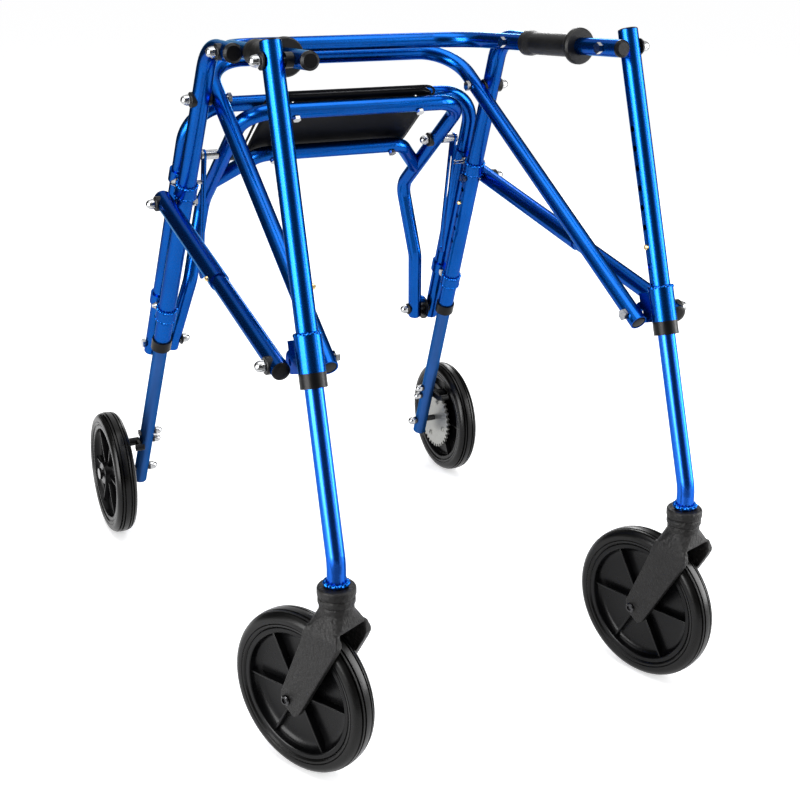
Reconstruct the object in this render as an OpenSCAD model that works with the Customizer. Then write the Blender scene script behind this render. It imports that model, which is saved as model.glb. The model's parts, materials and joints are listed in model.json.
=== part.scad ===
// Posterior walker: a folding tube frame open at the front, with two swivelling front
// casters, two ratchet rear wheels, handgrips on a handle hoop and a flip-down seat.
// Frame: x across, y rearward, z up from the floor, millimetres.

/* [Tubes] */
// Outside diameter of the legs and of the outer side braces
leg_od = 25.4; // [24:0.2:28]
// Outside diameter of the height posts and of the inner side braces
post_od = 22; // [20:0.2:23]
// Outside diameter of the hoops and of the seat frame
hoop_od = 22.2; // [19:0.2:24]
// Wall of the hoops, posts and inner braces
tube_wall = 1.6; // [1:0.1:2.4]
// Centre-line radius of the hoop bends
hoop_bend = 60; // [40:1:75]

/* [Front legs] */
// Distance of each front leg from the centre plane
front_x = 240; // [238:1:246]
// Top of the front leg, y
front_top_y = -235; // [-240:1:-228]
// Top of the front leg, z
front_top_z = 833.5; // [825:0.5:845]
// Lean of the front legs from upright, degrees
front_lean = 17.6; // [16:0.1:19]
// Length of the front leg tube
front_leg_len = 370; // [364:1:376]
// Handle pivot below the leg's top, along the leg
handle_down = 21; // [18:0.5:26]
// Bracket pivot above the leg's lower end, along the leg
bracket_up = 14; // [10:1:18]
// Bracket pivot behind the leg's axis
bracket_back = 27.5; // [26:0.5:32]
// Outside diameter of the bracket sleeve
sleeve_od = 32; // [30:0.5:32]
// Length of the bracket sleeve
sleeve_len = 42; // [36:1:48]
// Width of the bracket's rearward channel
lug_t = 29; // [26:0.5:30]
// Thickness of the channel's two cheeks
cheek_t = 5; // [3:0.5:7]
// Height of the black bush under each leg
bush_h = 17; // [14:0.5:20]

/* [Rear legs] */
// Distance of each rear leg from the centre plane at the brace pivot
rear_x = 224; // [223:0.5:228]
// Brace pivot on the rear leg, y
brace_y = 80; // [76:1:84]
// Brace pivot on the rear leg, z
brace_z = 733; // [728:1:738]
// Lean of the rear legs from upright, degrees
rear_lean = 24.02; // [23:0.1:25]
// Outward splay of the rear legs, degrees
rear_splay = 3.13; // [2.6:0.1:3.4]
// Length of the rear leg below the brace pivot
rear_leg_len = 420; // [414:1:426]
// Height of the rear leg's level top end
level_z = 804.7; // [800:0.5:810]
// Front end of the level top end, y
level_y = -45; // [-52:1:-40]
// Handle pivot on the level top end, y
handle_y = -24; // [-28:0.5:-20]
// Side brace pivot below the brace pivot, along the rear leg
side_down = 166; // [162:1:168]
// Bend radius of the rear leg's top
rear_bend = 50; // [42:1:56]

/* [Height adjustment] */
// Pitch of the snap-button holes
hole_pitch = 25; // [22:0.1:26]
// Number of snap-button holes in the front legs
hole_count = 9; // [7:1:9]
// Front hole the button stands in, counted from the top
hole_used = 7; // [6:1:7]
// Number of snap-button holes in the rear legs
rear_hole_count = 5; // [4:1:6]
// Rear hole the button stands in, counted from the top
rear_hole_used = 2; // [2:1:2]
// Snap button diameter
button_d = 7; // [6:0.5:8]
// Button's own hole above the rear leg's lower end
rear_button_up = 208; // [204:1:212]
// Button's own hole above the front leg's lower end
front_button_up = 95; // [90:1:100]

/* [Back hoop and clamps] */
// Distance of the back hoop behind the rear leg, square to the leg
hoop_gap = 40; // [36:0.5:46]
// Height of the back hoop's crossbar
back_z = 718; // [716:0.5:724]
// Distance of the back hoop from the centre plane at its crossbar
back_x = 225; // [223:0.5:228]
// Seat pivot height on the back hoop
seat_pivot_z = 330; // [324:1:336]
// Upper clamp below the brace pivot, along the leg
clamp_a = 147; // [142:1:148]
// Lower clamp above the rear leg's lower end
clamp_b_up = 50; // [44:1:56]
// Length of each clamp along the tubes
clamp_len = 18; // [14:1:20]
// Outside diameter of the clamp rings over the tube's own diameter
clamp_add = 6; // [4:0.5:6.4]

/* [Handle hoop and grips] */
// Handle bar distance from the centre plane at the front pivot
handle_front_x = 206; // [200:0.5:208]
// Free gap between the handle bar and the rear leg
side_gap = 2; // [1.6:0.1:3]
// Rear crossbar of the handle hoop, y
handle_rear_y = 100; // [92:1:108]
// Handle bar beyond its front pivot
handle_over = 27; // [22:1:34]
// Start of the grip in front of the rear pivot
grip_start = 40; // [34:1:48]
// Length of the grip
grip_len = 123; // [110:1:130]
// Diameter of the grip's body
grip_d = 30; // [28:0.5:34]
// Diameter of the grip's front flange
grip_flange_d = 47; // [40:1:52]

/* [Brace hoop] */
// Brace arm distance from the centre plane at the bracket
brace_front_x = 212; // [206:0.5:213]
// Brace arm beyond the bracket pivot
brace_over = 16; // [12:1:20]
// Brace arm beyond the rear pivot to the crossbar
brace_rear = 85; // [78:1:92]

/* [Side braces] */
// Side brace distance from the centre plane at the bracket
side_front_x = 271; // [268:0.5:276]
// Length of the outer tube in front of its pivot
side_outer_len = 260; // [255:1:272]
// Overlap of the inner tube in the outer tube
side_overlap = 118; // [105:1:120]
// Tube beyond the end pivots
side_over = 16; // [14:1:20]

/* [Front casters] */
// Diameter of the caster wheels
caster_d = 200; // [190:1:206]
// Width of the caster tyres
caster_w = 34; // [30:0.5:36]
// Radial depth of the tyres
tyre_depth = 19; // [15:0.5:22]
// Caster trail
trail = 52; // [46:1:56]
// Swivel angle of the left caster
yaw_left = 16.6; // [0:0.1:40]
// Swivel angle of the right caster
yaw_right = 25.8; // [0:0.1:40]
// Height of the stem's lower bend
stem_bend_z = 278; // [272:1:286]
// Height of the weld ring at the top of the fork
fork_top_z = 252; // [248:1:258]
// Thickness of each fork arm
arm_t = 9; // [7:0.5:10]
// Free gap between the fork arm and the tyre
fork_gap = 4; // [2.5:0.5:6]
// Width of each fork arm
arm_w = 33; // [28:1:36]
// Diameter of the fork's neck
neck_d = 45; // [42:0.5:48]
// Diameter of the stem pin in the fork's neck
stem_d = 16; // [12:0.5:18]
// Diameter of the caster axle bolt
caster_axle_d = 10; // [8:0.5:12]
// Number of ribs in the wheels
rib_count = 6; // [4:1:8]
// Thickness of the ribs
rib_t = 4; // [3:0.5:6]

/* [Rear wheels] */
// Diameter of the rear wheels
rear_d = 196.5; // [188:0.5:200]
// Width of the rear tyres
rear_w = 33; // [28:0.5:36]
// Rear wheel's mid-plane outboard of the axle's inboard face
rear_out = 47; // [45:0.5:52]
// Diameter of the rear axle
rear_axle_d = 10; // [8:0.5:12]
// Outside diameter of the ratchet disc
gear_d = 108; // [104:1:109]
// Number of teeth on the ratchet disc
gear_teeth = 36; // [36:12:36]
// Thickness of the ratchet disc
gear_t = 4; // [3:0.5:5]
// Pawl pivot above the rear axle, along the leg
pawl_up = 62; // [61.5:0.5:64]
// Spare bolt above the pawl pivot, along the leg
pawl_bolt = 18; // [16:0.5:20]
// Pawl's tooth behind its pivot
pawl_reach = 23; // [21:0.5:25]
// Pawl's tooth below its pivot
pawl_drop = 9; // [8:0.5:9]
// Swing of the pawl onto the teeth, degrees
pawl_swing = 12; // [10:0.5:12]

/* [Seat] */
// Distance of the seat arms from the centre plane at their pivots
seat_foot_x = 213; // [208:0.5:214]
// Distance of the seat arms from the centre plane at their lower bend
arm_bend_x = 193; // [188:0.5:196]
// Distance of the seat arms from the centre plane above the knee
seat_x = 169; // [162:0.5:172]
// Lower bend of the arm in front of the pivot
arm_bend_fwd = 39; // [34:1:44]
// Lower bend of the arm above the pivot
arm_bend_up = 105; // [98:1:112]
// Knee of the arm in front of the pivot
knee_fwd = 38; // [33:1:43]
// Knee of the arm above the pivot
knee_up = 225; // [220:1:230]
// Upper crossbar in front of the pivot
seat_top_fwd = 238; // [234:1:244]
// Upper crossbar above the pivot
seat_top_up = 383; // [378:1:388]
// Centre-line radius of the seat frame's bends
seat_bend = 40; // [34:1:44]
// Middle of the lower crossbar below the upper one, along the arm
seat_low_down = 118; // [110:1:124]
// Ends of the lower crossbar below the upper one, along the arm
seat_end_down = 194; // [188:1:200]
// Half length of the lower crossbar's middle
seat_low_half = 114; // [110:1:120]
// Width of the seat panel
panel_w = 262; // [240:1:270]
// Depth of the seat panel
panel_l = 170; // [150:1:176]
// Thickness of the seat panel
panel_t = 18; // [14:0.5:19]
// Panel beyond the upper crossbar
panel_over = 14; // [8:1:18]
// Distance of the panel's bolts from the centre plane
seat_bolt_x = 95; // [85:1:100]
// Diameter of the panel's bolts
seat_bolt_d = 6; // [5:0.5:8]
// Stay bolt below the upper crossbar, along the arm
stay_down = 109; // [104:1:114]
// Inboard face of the seat stay, from the centre plane
stay_x = 198.5; // [197:0.5:200]
// Length of the seat stay from its bolt to its end
stay_len = 184; // [180:1:190]
// Width of the seat stay
stay_w = 16; // [14:0.5:18]
// Thickness of the seat stay
stay_t = 3; // [2.5:0.1:3.5]
// Diameter of the disc at the seat's pivots
disc_d = 40; // [34:1:44]

/* [Bolts and fits] */
// Diameter of the frame bolts
bolt_d = 8; // [6:0.5:9]
// Radial clearance of a bolt or shaft that turns in a hole
turn_clear = 0.08; // [0.05:0.01:0.1]
// Radial clearance of a piece that is fixed on another
fix_clear = 0.05; // [0.03:0.01:0.1]
// Radial clearance of a post in its leg
slide_clear = 0.08; // [0.05:0.01:0.1]
// Across-corner radius of the nuts and hex heads
hex_r = 7.4; // [6:0.1:8]

/* [Hidden] */
$fn = 40;
blue = [0.05, 0.16, 0.62];
satin_blue = [0.16, 0.3, 0.62];
black = [0.05, 0.05, 0.055];
steel = [0.75, 0.76, 0.78];
brass = [0.72, 0.58, 0.3];
leg_r = leg_od / 2;
post_r = post_od / 2;
hoop_r = hoop_od / 2;
bolt_r = bolt_d / 2;
leg_bore = post_r + slide_clear;
bend_in = 0.8;
bend_thin = 0.03;
bracket_down = front_leg_len - bracket_up;
front_button_down = front_leg_len - front_button_up;
rear_button_down = rear_leg_len - rear_button_up;
clamp_b = rear_leg_len - clamp_b_up;

// front leg axis: points along the leg, and square to it towards the rear
function front_at(down, back) = [
    front_x,
    front_top_y - down * sin(front_lean) + back * cos(front_lean),
    front_top_z - down * cos(front_lean) - back * sin(front_lean)];
p3 = front_at(handle_down, 0);
p4 = front_at(bracket_down, bracket_back);

// rear leg axis, from the brace pivot downward
rear_dir = unit([tan(rear_splay), tan(rear_lean), -1]);
p2 = [rear_x, brace_y, brace_z];
function rear_at(down) = p2 + rear_dir * down;
function rear_at_z(z) = rear_at((brace_z - z) / -rear_dir[2]);
level_corner = rear_at_z(level_z);
p1 = [level_corner[0], handle_y, level_z];
p5 = rear_at(side_down);
rear_up = -rear_dir;
rear_back = unit([0, 1, 0] - rear_up * rear_up[1]);
rear_side = cross(rear_back, rear_up);

// back hoop, parallel to the rear legs
back_dy = hoop_gap / sqrt(1 - rear_up[1] * rear_up[1]);
back_corner = [back_x, rear_at_z(back_z)[1] + back_dy, back_z];
function back_at_z(z) = back_corner + rear_dir * ((back_z - z) / -rear_dir[2]);
p7 = back_at_z(seat_pivot_z);

// handle bar line through its two pivots
handle_p1 = [p1[0] - leg_r - side_gap - hoop_r, p1[1], p1[2]];
handle_p3 = [handle_front_x, p3[1], p3[2]];
handle_dir = unit(handle_p3 - handle_p1);
handle_end = handle_p3 + handle_dir * handle_over;
handle_corner = handle_p1 - handle_dir * ((handle_rear_y - p1[1]) / -handle_dir[1]);

// brace arm line through its two pivots
brace_p2 = [p2[0] - leg_r - side_gap - hoop_r, p2[1], p2[2]];
brace_p4 = [brace_front_x, p4[1], p4[2]];
brace_dir = unit(brace_p4 - brace_p2);
brace_end = brace_p4 + brace_dir * brace_over;
brace_corner = brace_p2 - brace_dir * brace_rear;

// side brace line
side_p5 = [p5[0] + 2 * leg_r + side_gap, p5[1], p5[2]];
side_p4 = [side_front_x, p4[1], p4[2]];
side_dir = unit(side_p4 - side_p5);
side_len = norm(side_p4 - side_p5);

// casters
stem_y = front_at((front_top_z - stem_bend_z) / cos(front_lean), 0)[1];
caster_r = caster_d / 2;
arm_in = caster_w / 2 + fork_gap;

// rear axle on the leg's line
rear_r = rear_d / 2;
axle_c = rear_at_z(rear_r);
wheel_x = axle_c[0] + rear_out;

// pawl frame: u rearward square to the leg, v up the leg
lean = atan2(rear_dir[1], -rear_dir[2]);
pawl_u = [0, cos(lean), sin(lean)];
pawl_v = [0, -sin(lean), cos(lean)];
pawl_c = axle_c + rear_up * pawl_up;
spare_c = pawl_c + rear_up * pawl_bolt;
tip_u = pawl_reach * cos(pawl_swing) - pawl_drop * sin(pawl_swing);
tip_v = (pawl_c - axle_c) * pawl_v - pawl_reach * sin(pawl_swing) - pawl_drop * cos(pawl_swing);
gear_phase = 180 + lean - atan2(tip_u, tip_v);

// seat frame, from the pivot
arm_bend = [arm_bend_x, p7[1] - arm_bend_fwd, p7[2] + arm_bend_up];
knee = [seat_x, p7[1] - knee_fwd, p7[2] + knee_up];
seat_top = [seat_x, p7[1] - seat_top_fwd, p7[2] + seat_top_up];
seat_along = unit(seat_top - knee);
seat_norm = [0, seat_along[2], -seat_along[1]];
seat_low = seat_top - seat_along * seat_low_down;
seat_end = seat_top - seat_along * seat_end_down;
seat_foot = [seat_foot_x, p7[1], p7[2]];
stay_c = seat_top - seat_along * stay_down;
stay_pin = p2 + rear_dir * clamp_a + rear_back * (hoop_gap / 2) - rear_side * (rear_x - stay_x);
stay_dir = unit([0, stay_pin[1] - stay_c[1], stay_pin[2] - stay_c[2]]);

function unit(v) = v / norm(v);
function flip(p) = [-p[0], p[1], p[2]];
function rows(x, y, z, p) = [
    [x[0], y[0], z[0], p[0]],
    [x[1], y[1], z[1], p[1]],
    [x[2], y[2], z[2], p[2]],
    [0, 0, 0, 1]];
function hint(z) = abs(z[0]) < 0.9 ? [1, 0, 0] : [0, 1, 0];
function aim(p, z) = rows(cross(unit(cross(z, hint(z))), z), unit(cross(z, hint(z))), z, p);
function turn(a, b, c) = acos(min(1, max(-1, unit(b - a) * unit(c - b))));
function trim(p, i, rb) = i == 0 || i == len(p) - 1 ? 0 : rb * tan(turn(p[i - 1], p[i], p[i + 1]) / 2) - bend_in;

// the children stand on +x; the right side, at -x, is their mirror image
module side(s) {
    mirror([s < 0 ? 1 : 0, 0, 0]) children();
}

module rod(a, b, r) {
    multmatrix(aim(a, unit(b - a))) cylinder(r = r, h = norm(b - a));
}

module bend(a, b, c, rb, r) {
    u = unit(b - a);
    w = unit(c - b);
    n = unit(w - u * (u * w));
    t = rb * tan(turn(a, b, c) / 2);
    multmatrix(rows(-n, u, cross(-n, u), b - u * t + n * rb))
        rotate_extrude(angle = turn(a, b, c)) translate([rb, 0]) circle(r = r);
}

// a bent round bar through the points; the straights reach a little into the bends
module bar(p, rb, r) {
    for (i = [0 : len(p) - 2]) {
        u = unit(p[i + 1] - p[i]);
        rod(p[i] + u * trim(p, i, rb), p[i + 1] - u * trim(p, i + 1, rb), r);
    }
    if (len(p) > 2)
        for (i = [1 : len(p) - 2])
            bend(p[i - 1], p[i], p[i + 1], rb, r - bend_thin);
}

// a bolt hole along x through the point
module cross_hole(p, r, reach) {
    translate(p) rotate([0, 90, 0]) cylinder(r = r, h = 2 * reach, center = true);
}

// a bolt along x: a hex head inboard, an acorn nut outboard
module acorn(r = hex_r) {
    cylinder(r = r, h = 6, $fn = 6);
    translate([0, 0, 6]) cylinder(r1 = r * 0.86, r2 = r * 0.4, h = 5.5);
}

module head() {
    cylinder(r = hex_r, h = 5, $fn = 6);
}

module cross_bolt(p, x0, x1) {
    translate([x0, p[1], p[2]]) rotate([0, 90, 0]) cylinder(r = bolt_r, h = x1 - x0);
    translate([x0, p[1], p[2]]) rotate([0, -90, 0]) head();
    translate([x1, p[1], p[2]]) rotate([0, 90, 0]) acorn();
}

module ring(r1, r0, h) {
    difference() {
        cylinder(r = r1, h = h);
        translate([0, 0, -1]) cylinder(r = r0, h = h + 2);
    }
}

// local frames of the legs: z up along the leg, y rearward, x outboard
module on_rear() {
    multmatrix(rows(rear_side, rear_back, rear_up, p2)) children();
}

module on_front() {
    translate([front_x, front_top_y, front_top_z]) rotate([-front_lean, 0, 0]) children();
}

module button_holes(button_down, count, used) {
    for (i = [1 : count])
        translate([0, 0, -button_down - (i - used) * hole_pitch])
            rotate([0, -90, 0]) cylinder(r = button_d / 2 + 0.4, h = leg_od, $fn = 20);
}

// rear leg: leans back, its top bent level towards the front
module rear_leg(s) {
    top = [level_corner[0], level_y, level_z];
    low = rear_at(rear_leg_len);
    color(blue) side(s) difference() {
        bar([top, level_corner, low], rear_bend, leg_r);
        bar([top - [0, 1, 0], level_corner, low + rear_dir], rear_bend, leg_bore);
        for (p = [p1, p2, p5])
            cross_hole(p, bolt_r + fix_clear, leg_od);
        on_rear() button_holes(rear_button_down, rear_hole_count, rear_hole_used);
    }
}

// back hoop behind the rear legs, which carries the seat's pivots
module back_hoop() {
    low = back_at_z(seat_pivot_z - 16);
    p = [low, back_corner, flip(back_corner), flip(low)];
    q = [low + rear_dir, back_corner, flip(back_corner), flip(low + rear_dir)];
    color(blue) difference() {
        bar(p, hoop_bend, hoop_r);
        bar(q, hoop_bend, hoop_r - tube_wall);
        for (s = [-1, 1])
            side(s) cross_hole(p7, bolt_r + fix_clear, hoop_od);
    }
}

// two clamps a side hold the back hoop to the rear legs
module hoop_clamp(down) {
    on_rear() translate([0, 0, -down - clamp_len / 2]) difference() {
        union() {
            cylinder(r = leg_r + clamp_add / 2, h = clamp_len);
            translate([back_off, hoop_gap, 0]) cylinder(r = hoop_r + clamp_add / 2, h = clamp_len);
            translate([-5, 0, 0]) cube([10, hoop_gap, clamp_len]);
        }
        translate([0, 0, -1]) cylinder(r = leg_r + fix_clear, h = clamp_len + 2);
        translate([back_off, hoop_gap, -1]) cylinder(r = hoop_r + fix_clear, h = clamp_len + 2);
        translate([0, hoop_gap / 2, clamp_len / 2]) rotate([0, 90, 0])
            cylinder(r = 3 + fix_clear, h = 40, center = true);
    }
}
back_off = (back_corner - p2) * rear_side;

module hoop_clamps() {
    color(blue) for (s = [-1, 1])
        side(s) {
            hoop_clamp(clamp_a);
            hoop_clamp(clamp_b);
        }
}

// clamp bolts, the upper ones long inboard for the seat stays, and the seat pivot bolts
module clamp_bolts() {
    inner = stay_x + stay_t + 1;
    // the arm leans inboard above its pivot, so the nut stands off its flank
    nut_seat = seat_foot_x - hoop_r - 3;
    color(steel) for (s = [-1, 1])
        side(s) {
            for (down = [clamp_a, clamp_b])
                on_rear() translate([0, hoop_gap / 2, -down]) rotate([0, 90, 0]) {
                    cylinder(r = 3, h = 10.4, center = true);
                    translate([0, 0, 5.1]) acorn(hex_r * 0.85);
                    translate([0, 0, -9]) cylinder(r = 6, h = 3.9, $fn = 6);
                }
            on_rear() translate([0, hoop_gap / 2, -clamp_a]) rotate([0, -90, 0]) translate([0, 0, 8])
                cylinder(r = 3, h = rear_at(clamp_a)[0] - inner - 8);
            translate([nut_seat, p7[1], p7[2]]) rotate([0, -90, 0]) acorn();
            cross_rod(p7, nut_seat - 1, p7[0] + hoop_r + 0.8);
            translate([p7[0] + hoop_r + 0.8, p7[1], p7[2]]) rotate([0, 90, 0]) head();
        }
}

module cross_rod(p, x0, x1) {
    translate([x0, p[1], p[2]]) rotate([0, 90, 0]) cylinder(r = bolt_r, h = x1 - x0);
}

// pivot bolts of the handle hoop, the brace hoop and the side braces
module pivot_bolts() {
    color(steel) for (s = [-1, 1])
        side(s) {
            cross_bolt(p1, handle_p1[0] - hoop_r - 0.6, p1[0] + leg_r + 0.4);
            cross_bolt(p2, brace_p2[0] - hoop_r - 0.6, p2[0] + leg_r + 0.4);
            cross_bolt(p5, p5[0] - leg_r - 0.4, side_p5[0] + leg_r + 0.6);
        }
}

// black bushes at the rear legs' lower ends and plugs in their level top ends
module rear_bushes() {
    color(black) for (s = [-1, 1])
        side(s) {
            on_rear() translate([0, 0, -rear_leg_len - bush_h]) ring(leg_r + 2.4, leg_bore, bush_h);
            translate([level_corner[0], level_y, level_z]) rotate([90, 0, 0]) {
                cylinder(r = leg_r, h = 3);
                translate([0, 0, 3]) cylinder(r1 = leg_r, r2 = leg_r - 3, h = 2.5);
            }
        }
}

// handle hoop: a rear crossbar bent forward into both handle bars
module handle_hoop() {
    p = [handle_end, handle_corner, flip(handle_corner), flip(handle_end)];
    e = handle_end + handle_dir;
    color(blue) difference() {
        bar(p, hoop_bend, hoop_r);
        bar([e, handle_corner, flip(handle_corner), flip(e)], hoop_bend, hoop_r - tube_wall);
        for (s = [-1, 1])
            side(s) {
                cross_hole(handle_p1, bolt_r + turn_clear, hoop_od);
                cross_hole(handle_p3, bolt_r + fix_clear, hoop_od);
            }
    }
}

// black handgrip with a bulge behind and a flange in front
module handgrip(s) {
    bulge = grip_d / 2 + 2;
    body = grip_d / 2;
    rim = grip_flange_d / 2;
    color(black) side(s) multmatrix(aim(handle_p1 + handle_dir * grip_start, handle_dir))
        rotate_extrude() polygon([
            [hoop_r + fix_clear, 0], [bulge - 1.5, 0], [bulge, 2], [bulge, 12], [body, 22],
            [body, grip_len - 20], [body + 3, grip_len - 13], [rim - 1.5, grip_len - 9],
            [rim, grip_len - 7], [rim, grip_len - 3], [rim - 2, grip_len], [hoop_r + fix_clear, grip_len]]);
}

module plug(p, dir, r) {
    multmatrix(aim(p, dir)) {
        cylinder(r = r, h = 3);
        translate([0, 0, 3]) cylinder(r1 = r, r2 = r - 3, h = 2.5);
    }
}

// end plugs of the handle bars and the spacers beside the front legs
module handle_plugs() {
    gap = p3[0] - leg_r - handle_p3[0] - hoop_r;
    color(black) for (s = [-1, 1])
        side(s) {
            plug(handle_end, handle_dir, hoop_r);
            translate([handle_p3[0] + hoop_r + 0.3, p3[1], p3[2]]) rotate([0, 90, 0])
                ring(9, bolt_r + fix_clear, gap - 0.9);
        }
}

// bolts that join the handle bars to the front legs
module handle_bolts() {
    color(steel) for (s = [-1, 1])
        side(s) cross_bolt(p3, handle_p3[0] - hoop_r - 0.4, p3[0] + leg_r + 0.6);
}

// brace hoop: a crossbar under the handle hoop, bent forward and down to the brackets
module brace_hoop() {
    p = [brace_end, brace_corner, flip(brace_corner), flip(brace_end)];
    e = brace_end + brace_dir;
    color(blue) difference() {
        bar(p, hoop_bend, hoop_r);
        bar([e, brace_corner, flip(brace_corner), flip(e)], hoop_bend, hoop_r - tube_wall);
        for (s = [-1, 1])
            side(s) {
                cross_hole(brace_p2, bolt_r + turn_clear, hoop_od);
                cross_hole(brace_p4, bolt_r + fix_clear, hoop_od);
            }
    }
}

module brace_plugs() {
    color(black) for (s = [-1, 1])
        side(s) plug(brace_end, brace_dir, hoop_r);
}

// bolts through the brace arms at the brackets
module brace_bolts() {
    color(steel) for (s = [-1, 1])
        side(s) {
            cross_rod(p4, brace_p4[0] - hoop_r - 0.4, brace_p4[0] + hoop_r);
            translate([brace_p4[0] - hoop_r - 0.4, p4[1], p4[2]]) rotate([0, -90, 0]) head();
        }
}

// front leg with its row of snap-button holes
module front_leg(s) {
    color(blue) side(s) difference() {
        on_front() translate([0, 0, -front_leg_len]) difference() {
            cylinder(r = leg_r, h = front_leg_len);
            translate([0, 0, -1]) cylinder(r = leg_bore, h = front_leg_len - 2);
        }
        cross_hole(p3, bolt_r + turn_clear, leg_od);
        on_front() button_holes(front_button_down, hole_count, hole_used);
    }
}

// bracket at the front leg's lower end: a sleeve with a channel behind it
module front_bracket(s) {
    low = -front_leg_len + 0.3;
    color(blue) side(s) difference() {
        on_front() {
            translate([0, 0, low]) cylinder(r = sleeve_od / 2, h = sleeve_len);
            translate([-lug_t / 2, 0, low]) cube([lug_t, bracket_back, sleeve_len - 4]);
            translate([-lug_t / 2, bracket_back, -bracket_down]) rotate([0, 90, 0])
                cylinder(r = bracket_up - 0.5, h = lug_t);
        }
        on_front() translate([0, 0, low - 1]) cylinder(r = leg_r + fix_clear, h = sleeve_len + 2);
        on_front() translate([cheek_t - lug_t / 2, leg_r + 5, low - 1])
            cube([lug_t - 2 * cheek_t, bracket_back + 20, sleeve_len + 2]);
        cross_hole(p4, bolt_r + turn_clear, 20);
    }
}

// black collar bush under the front leg
module front_bush(s) {
    color(black) side(s) on_front() translate([0, 0, -front_leg_len - bush_h])
        ring(leg_r + 3, leg_bore, bush_h);
}

// front post: slides in the front leg and bends upright above the caster
module front_post(s) {
    top = front_at(front_button_down - 14, 0);
    corner = [front_x, stem_y, stem_bend_z];
    low = [front_x, stem_y, fork_top_z];
    color(blue) side(s) {
        difference() {
            bar([top, corner, low], 60, post_r);
            rod(top + (top - corner) / 100, front_at(front_button_down + 100, 0), post_r - tube_wall);
            on_front() translate([0, 0, -front_button_down]) rotate([0, -90, 0])
                cylinder(r = button_d / 2 + 0.2, h = leg_od, $fn = 20);
        }
        translate([front_x, stem_y, fork_top_z]) cylinder(r = post_r + 2, h = 4);
        translate([front_x, stem_y, fork_top_z - 38]) cylinder(r = stem_d / 2, h = 40);
    }
}

// snap button on its leaf spring inside the post
module snap_button() {
    color(brass) {
        rotate([0, -90, 0]) cylinder(r = button_d / 2, h = leg_r + 2.5, $fn = 24);
        rotate([0, -90, 0]) translate([0, 0, leg_r + 2.5])
            cylinder(r1 = button_d / 2, r2 = button_d / 2 - 1.2, h = 1.2, $fn = 24);
        translate([-2, -3, -2]) cube([4, 6, 8]);
    }
}

module front_button(s) {
    side(s) on_front() translate([0, 0, -front_button_down]) snap_button();
}

// the children stand at the caster's swivel axis, y rearward along the trail
module at_caster(s) {
    translate([s * front_x, stem_y, 0]) rotate([0, 0, s < 0 ? yaw_right : yaw_left]) children();
}

// nylon caster fork: ringed neck, rounded crown and two arms that trail to the axle
module caster_fork(s) {
    crown = fork_top_z - 46;
    half = arm_in + arm_t;
    nr = neck_d / 2;
    aw = arm_w / 2;
    color(black) at_caster(s) difference() {
        union() {
            translate([0, 0, crown]) rotate_extrude() polygon([
                [3, 2], [nr - 4, 2], [nr - 4, 15], [nr - 1.5, 18], [nr - 1.5, 25], [nr - 2.5, 26.5],
                [nr - 0.5, 28], [nr - 0.5, 35], [nr - 2, 36.5], [nr - 2, 38], [nr, 39.5],
                [nr, 43.5], [nr - 2, 45.4], [3, 45.4]]);
            hull() {
                translate([0, 0, crown + 13]) cylinder(r = nr - 2.5, h = 4);
                for (i = [-1, 1], j = [-1, 1])
                    translate([i * (half - 8), 3 + j * 12, crown]) cylinder(r = 8, h = 4, $fn = 24);
            }
            for (k = [-1, 1])
                translate([k * (arm_in + arm_t / 2) - arm_t / 2, 0, 0]) rotate([90, 0, 90])
                    linear_extrude(arm_t) polygon([
                        [-aw, crown + 4], [-aw - 1, crown - 3], [-aw + 1, crown - 10],
                        [trail - aw - 1, caster_r + 13], [trail - aw, caster_r - 5],
                        [trail - 9, caster_r - 15], [trail + 5, caster_r - 17],
                        [trail + aw - 2, caster_r - 9], [trail + aw, caster_r + 5],
                        [aw + 9, crown - 14], [aw + 6.5, crown - 6], [aw + 6, crown + 4]]);
        }
        translate([0, 0, crown - 20]) cylinder(r = stem_d / 2 + turn_clear, h = 80);
        translate([0, trail, caster_r]) rotate([0, 90, 0])
            cylinder(r = caster_axle_d / 2 + fix_clear, h = 120, center = true);
    }
}

// caster axle bolt
module caster_axle(s) {
    x1 = arm_in + arm_t + 0.3;
    color(black) at_caster(s) translate([0, trail, caster_r]) rotate([0, 90, 0]) {
        cylinder(r = caster_axle_d / 2, h = 2 * x1, center = true);
        for (k = [0, 180])
            rotate([k, 0, 0]) translate([0, 0, x1]) cylinder(r = 8, h = 4);
    }
}

// wheel rim: rim ring, web, hub and ribs, along x about its own axis
module rim(r, w, bore) {
    seat_r = r - tyre_depth;
    rotate([0, 90, 0]) difference() {
        union() {
            difference() {
                cylinder(r = seat_r, h = w - 6, center = true);
                cylinder(r = seat_r - 9, h = w, center = true);
            }
            cylinder(r = seat_r - 4, h = 4, center = true);
            cylinder(r = bore + 12, h = w + 2, center = true);
            for (i = [0 : rib_count - 1])
                rotate([0, 0, i * 360 / rib_count]) translate([bore + 5, -rib_t / 2, -(w - 10) / 2])
                    cube([seat_r - bore - 9, rib_t, w - 10]);
        }
        cylinder(r = bore + turn_clear, h = w + 10, center = true);
    }
}

// tyre with rounded shoulders and grooves round its tread
module tyre(r, w) {
    seat_r = r - tyre_depth + fix_clear;
    h = w / 2;
    rotate([0, 90, 0]) rotate_extrude($fn = 64) polygon([
        [seat_r, -h + 3], [r - 12, -h], [r - 5, -h + 2], [r - 1.5, -h + 6], [r, -h + 10],
        [r - 0.8, -5], [r - 0.8, -4], [r, -3.4], [r, 3.4], [r - 0.8, 4], [r - 0.8, 5],
        [r, h - 10], [r - 1.5, h - 6], [r - 5, h - 2], [r - 12, h], [seat_r, h - 3]]);
}

module caster_rim(s) {
    color(black) at_caster(s) translate([0, trail, caster_r])
        rim(caster_r, caster_w, caster_axle_d / 2);
}

module caster_tyre(s) {
    color(black) at_caster(s) translate([0, trail, caster_r]) tyre(caster_r, caster_w);
}

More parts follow.
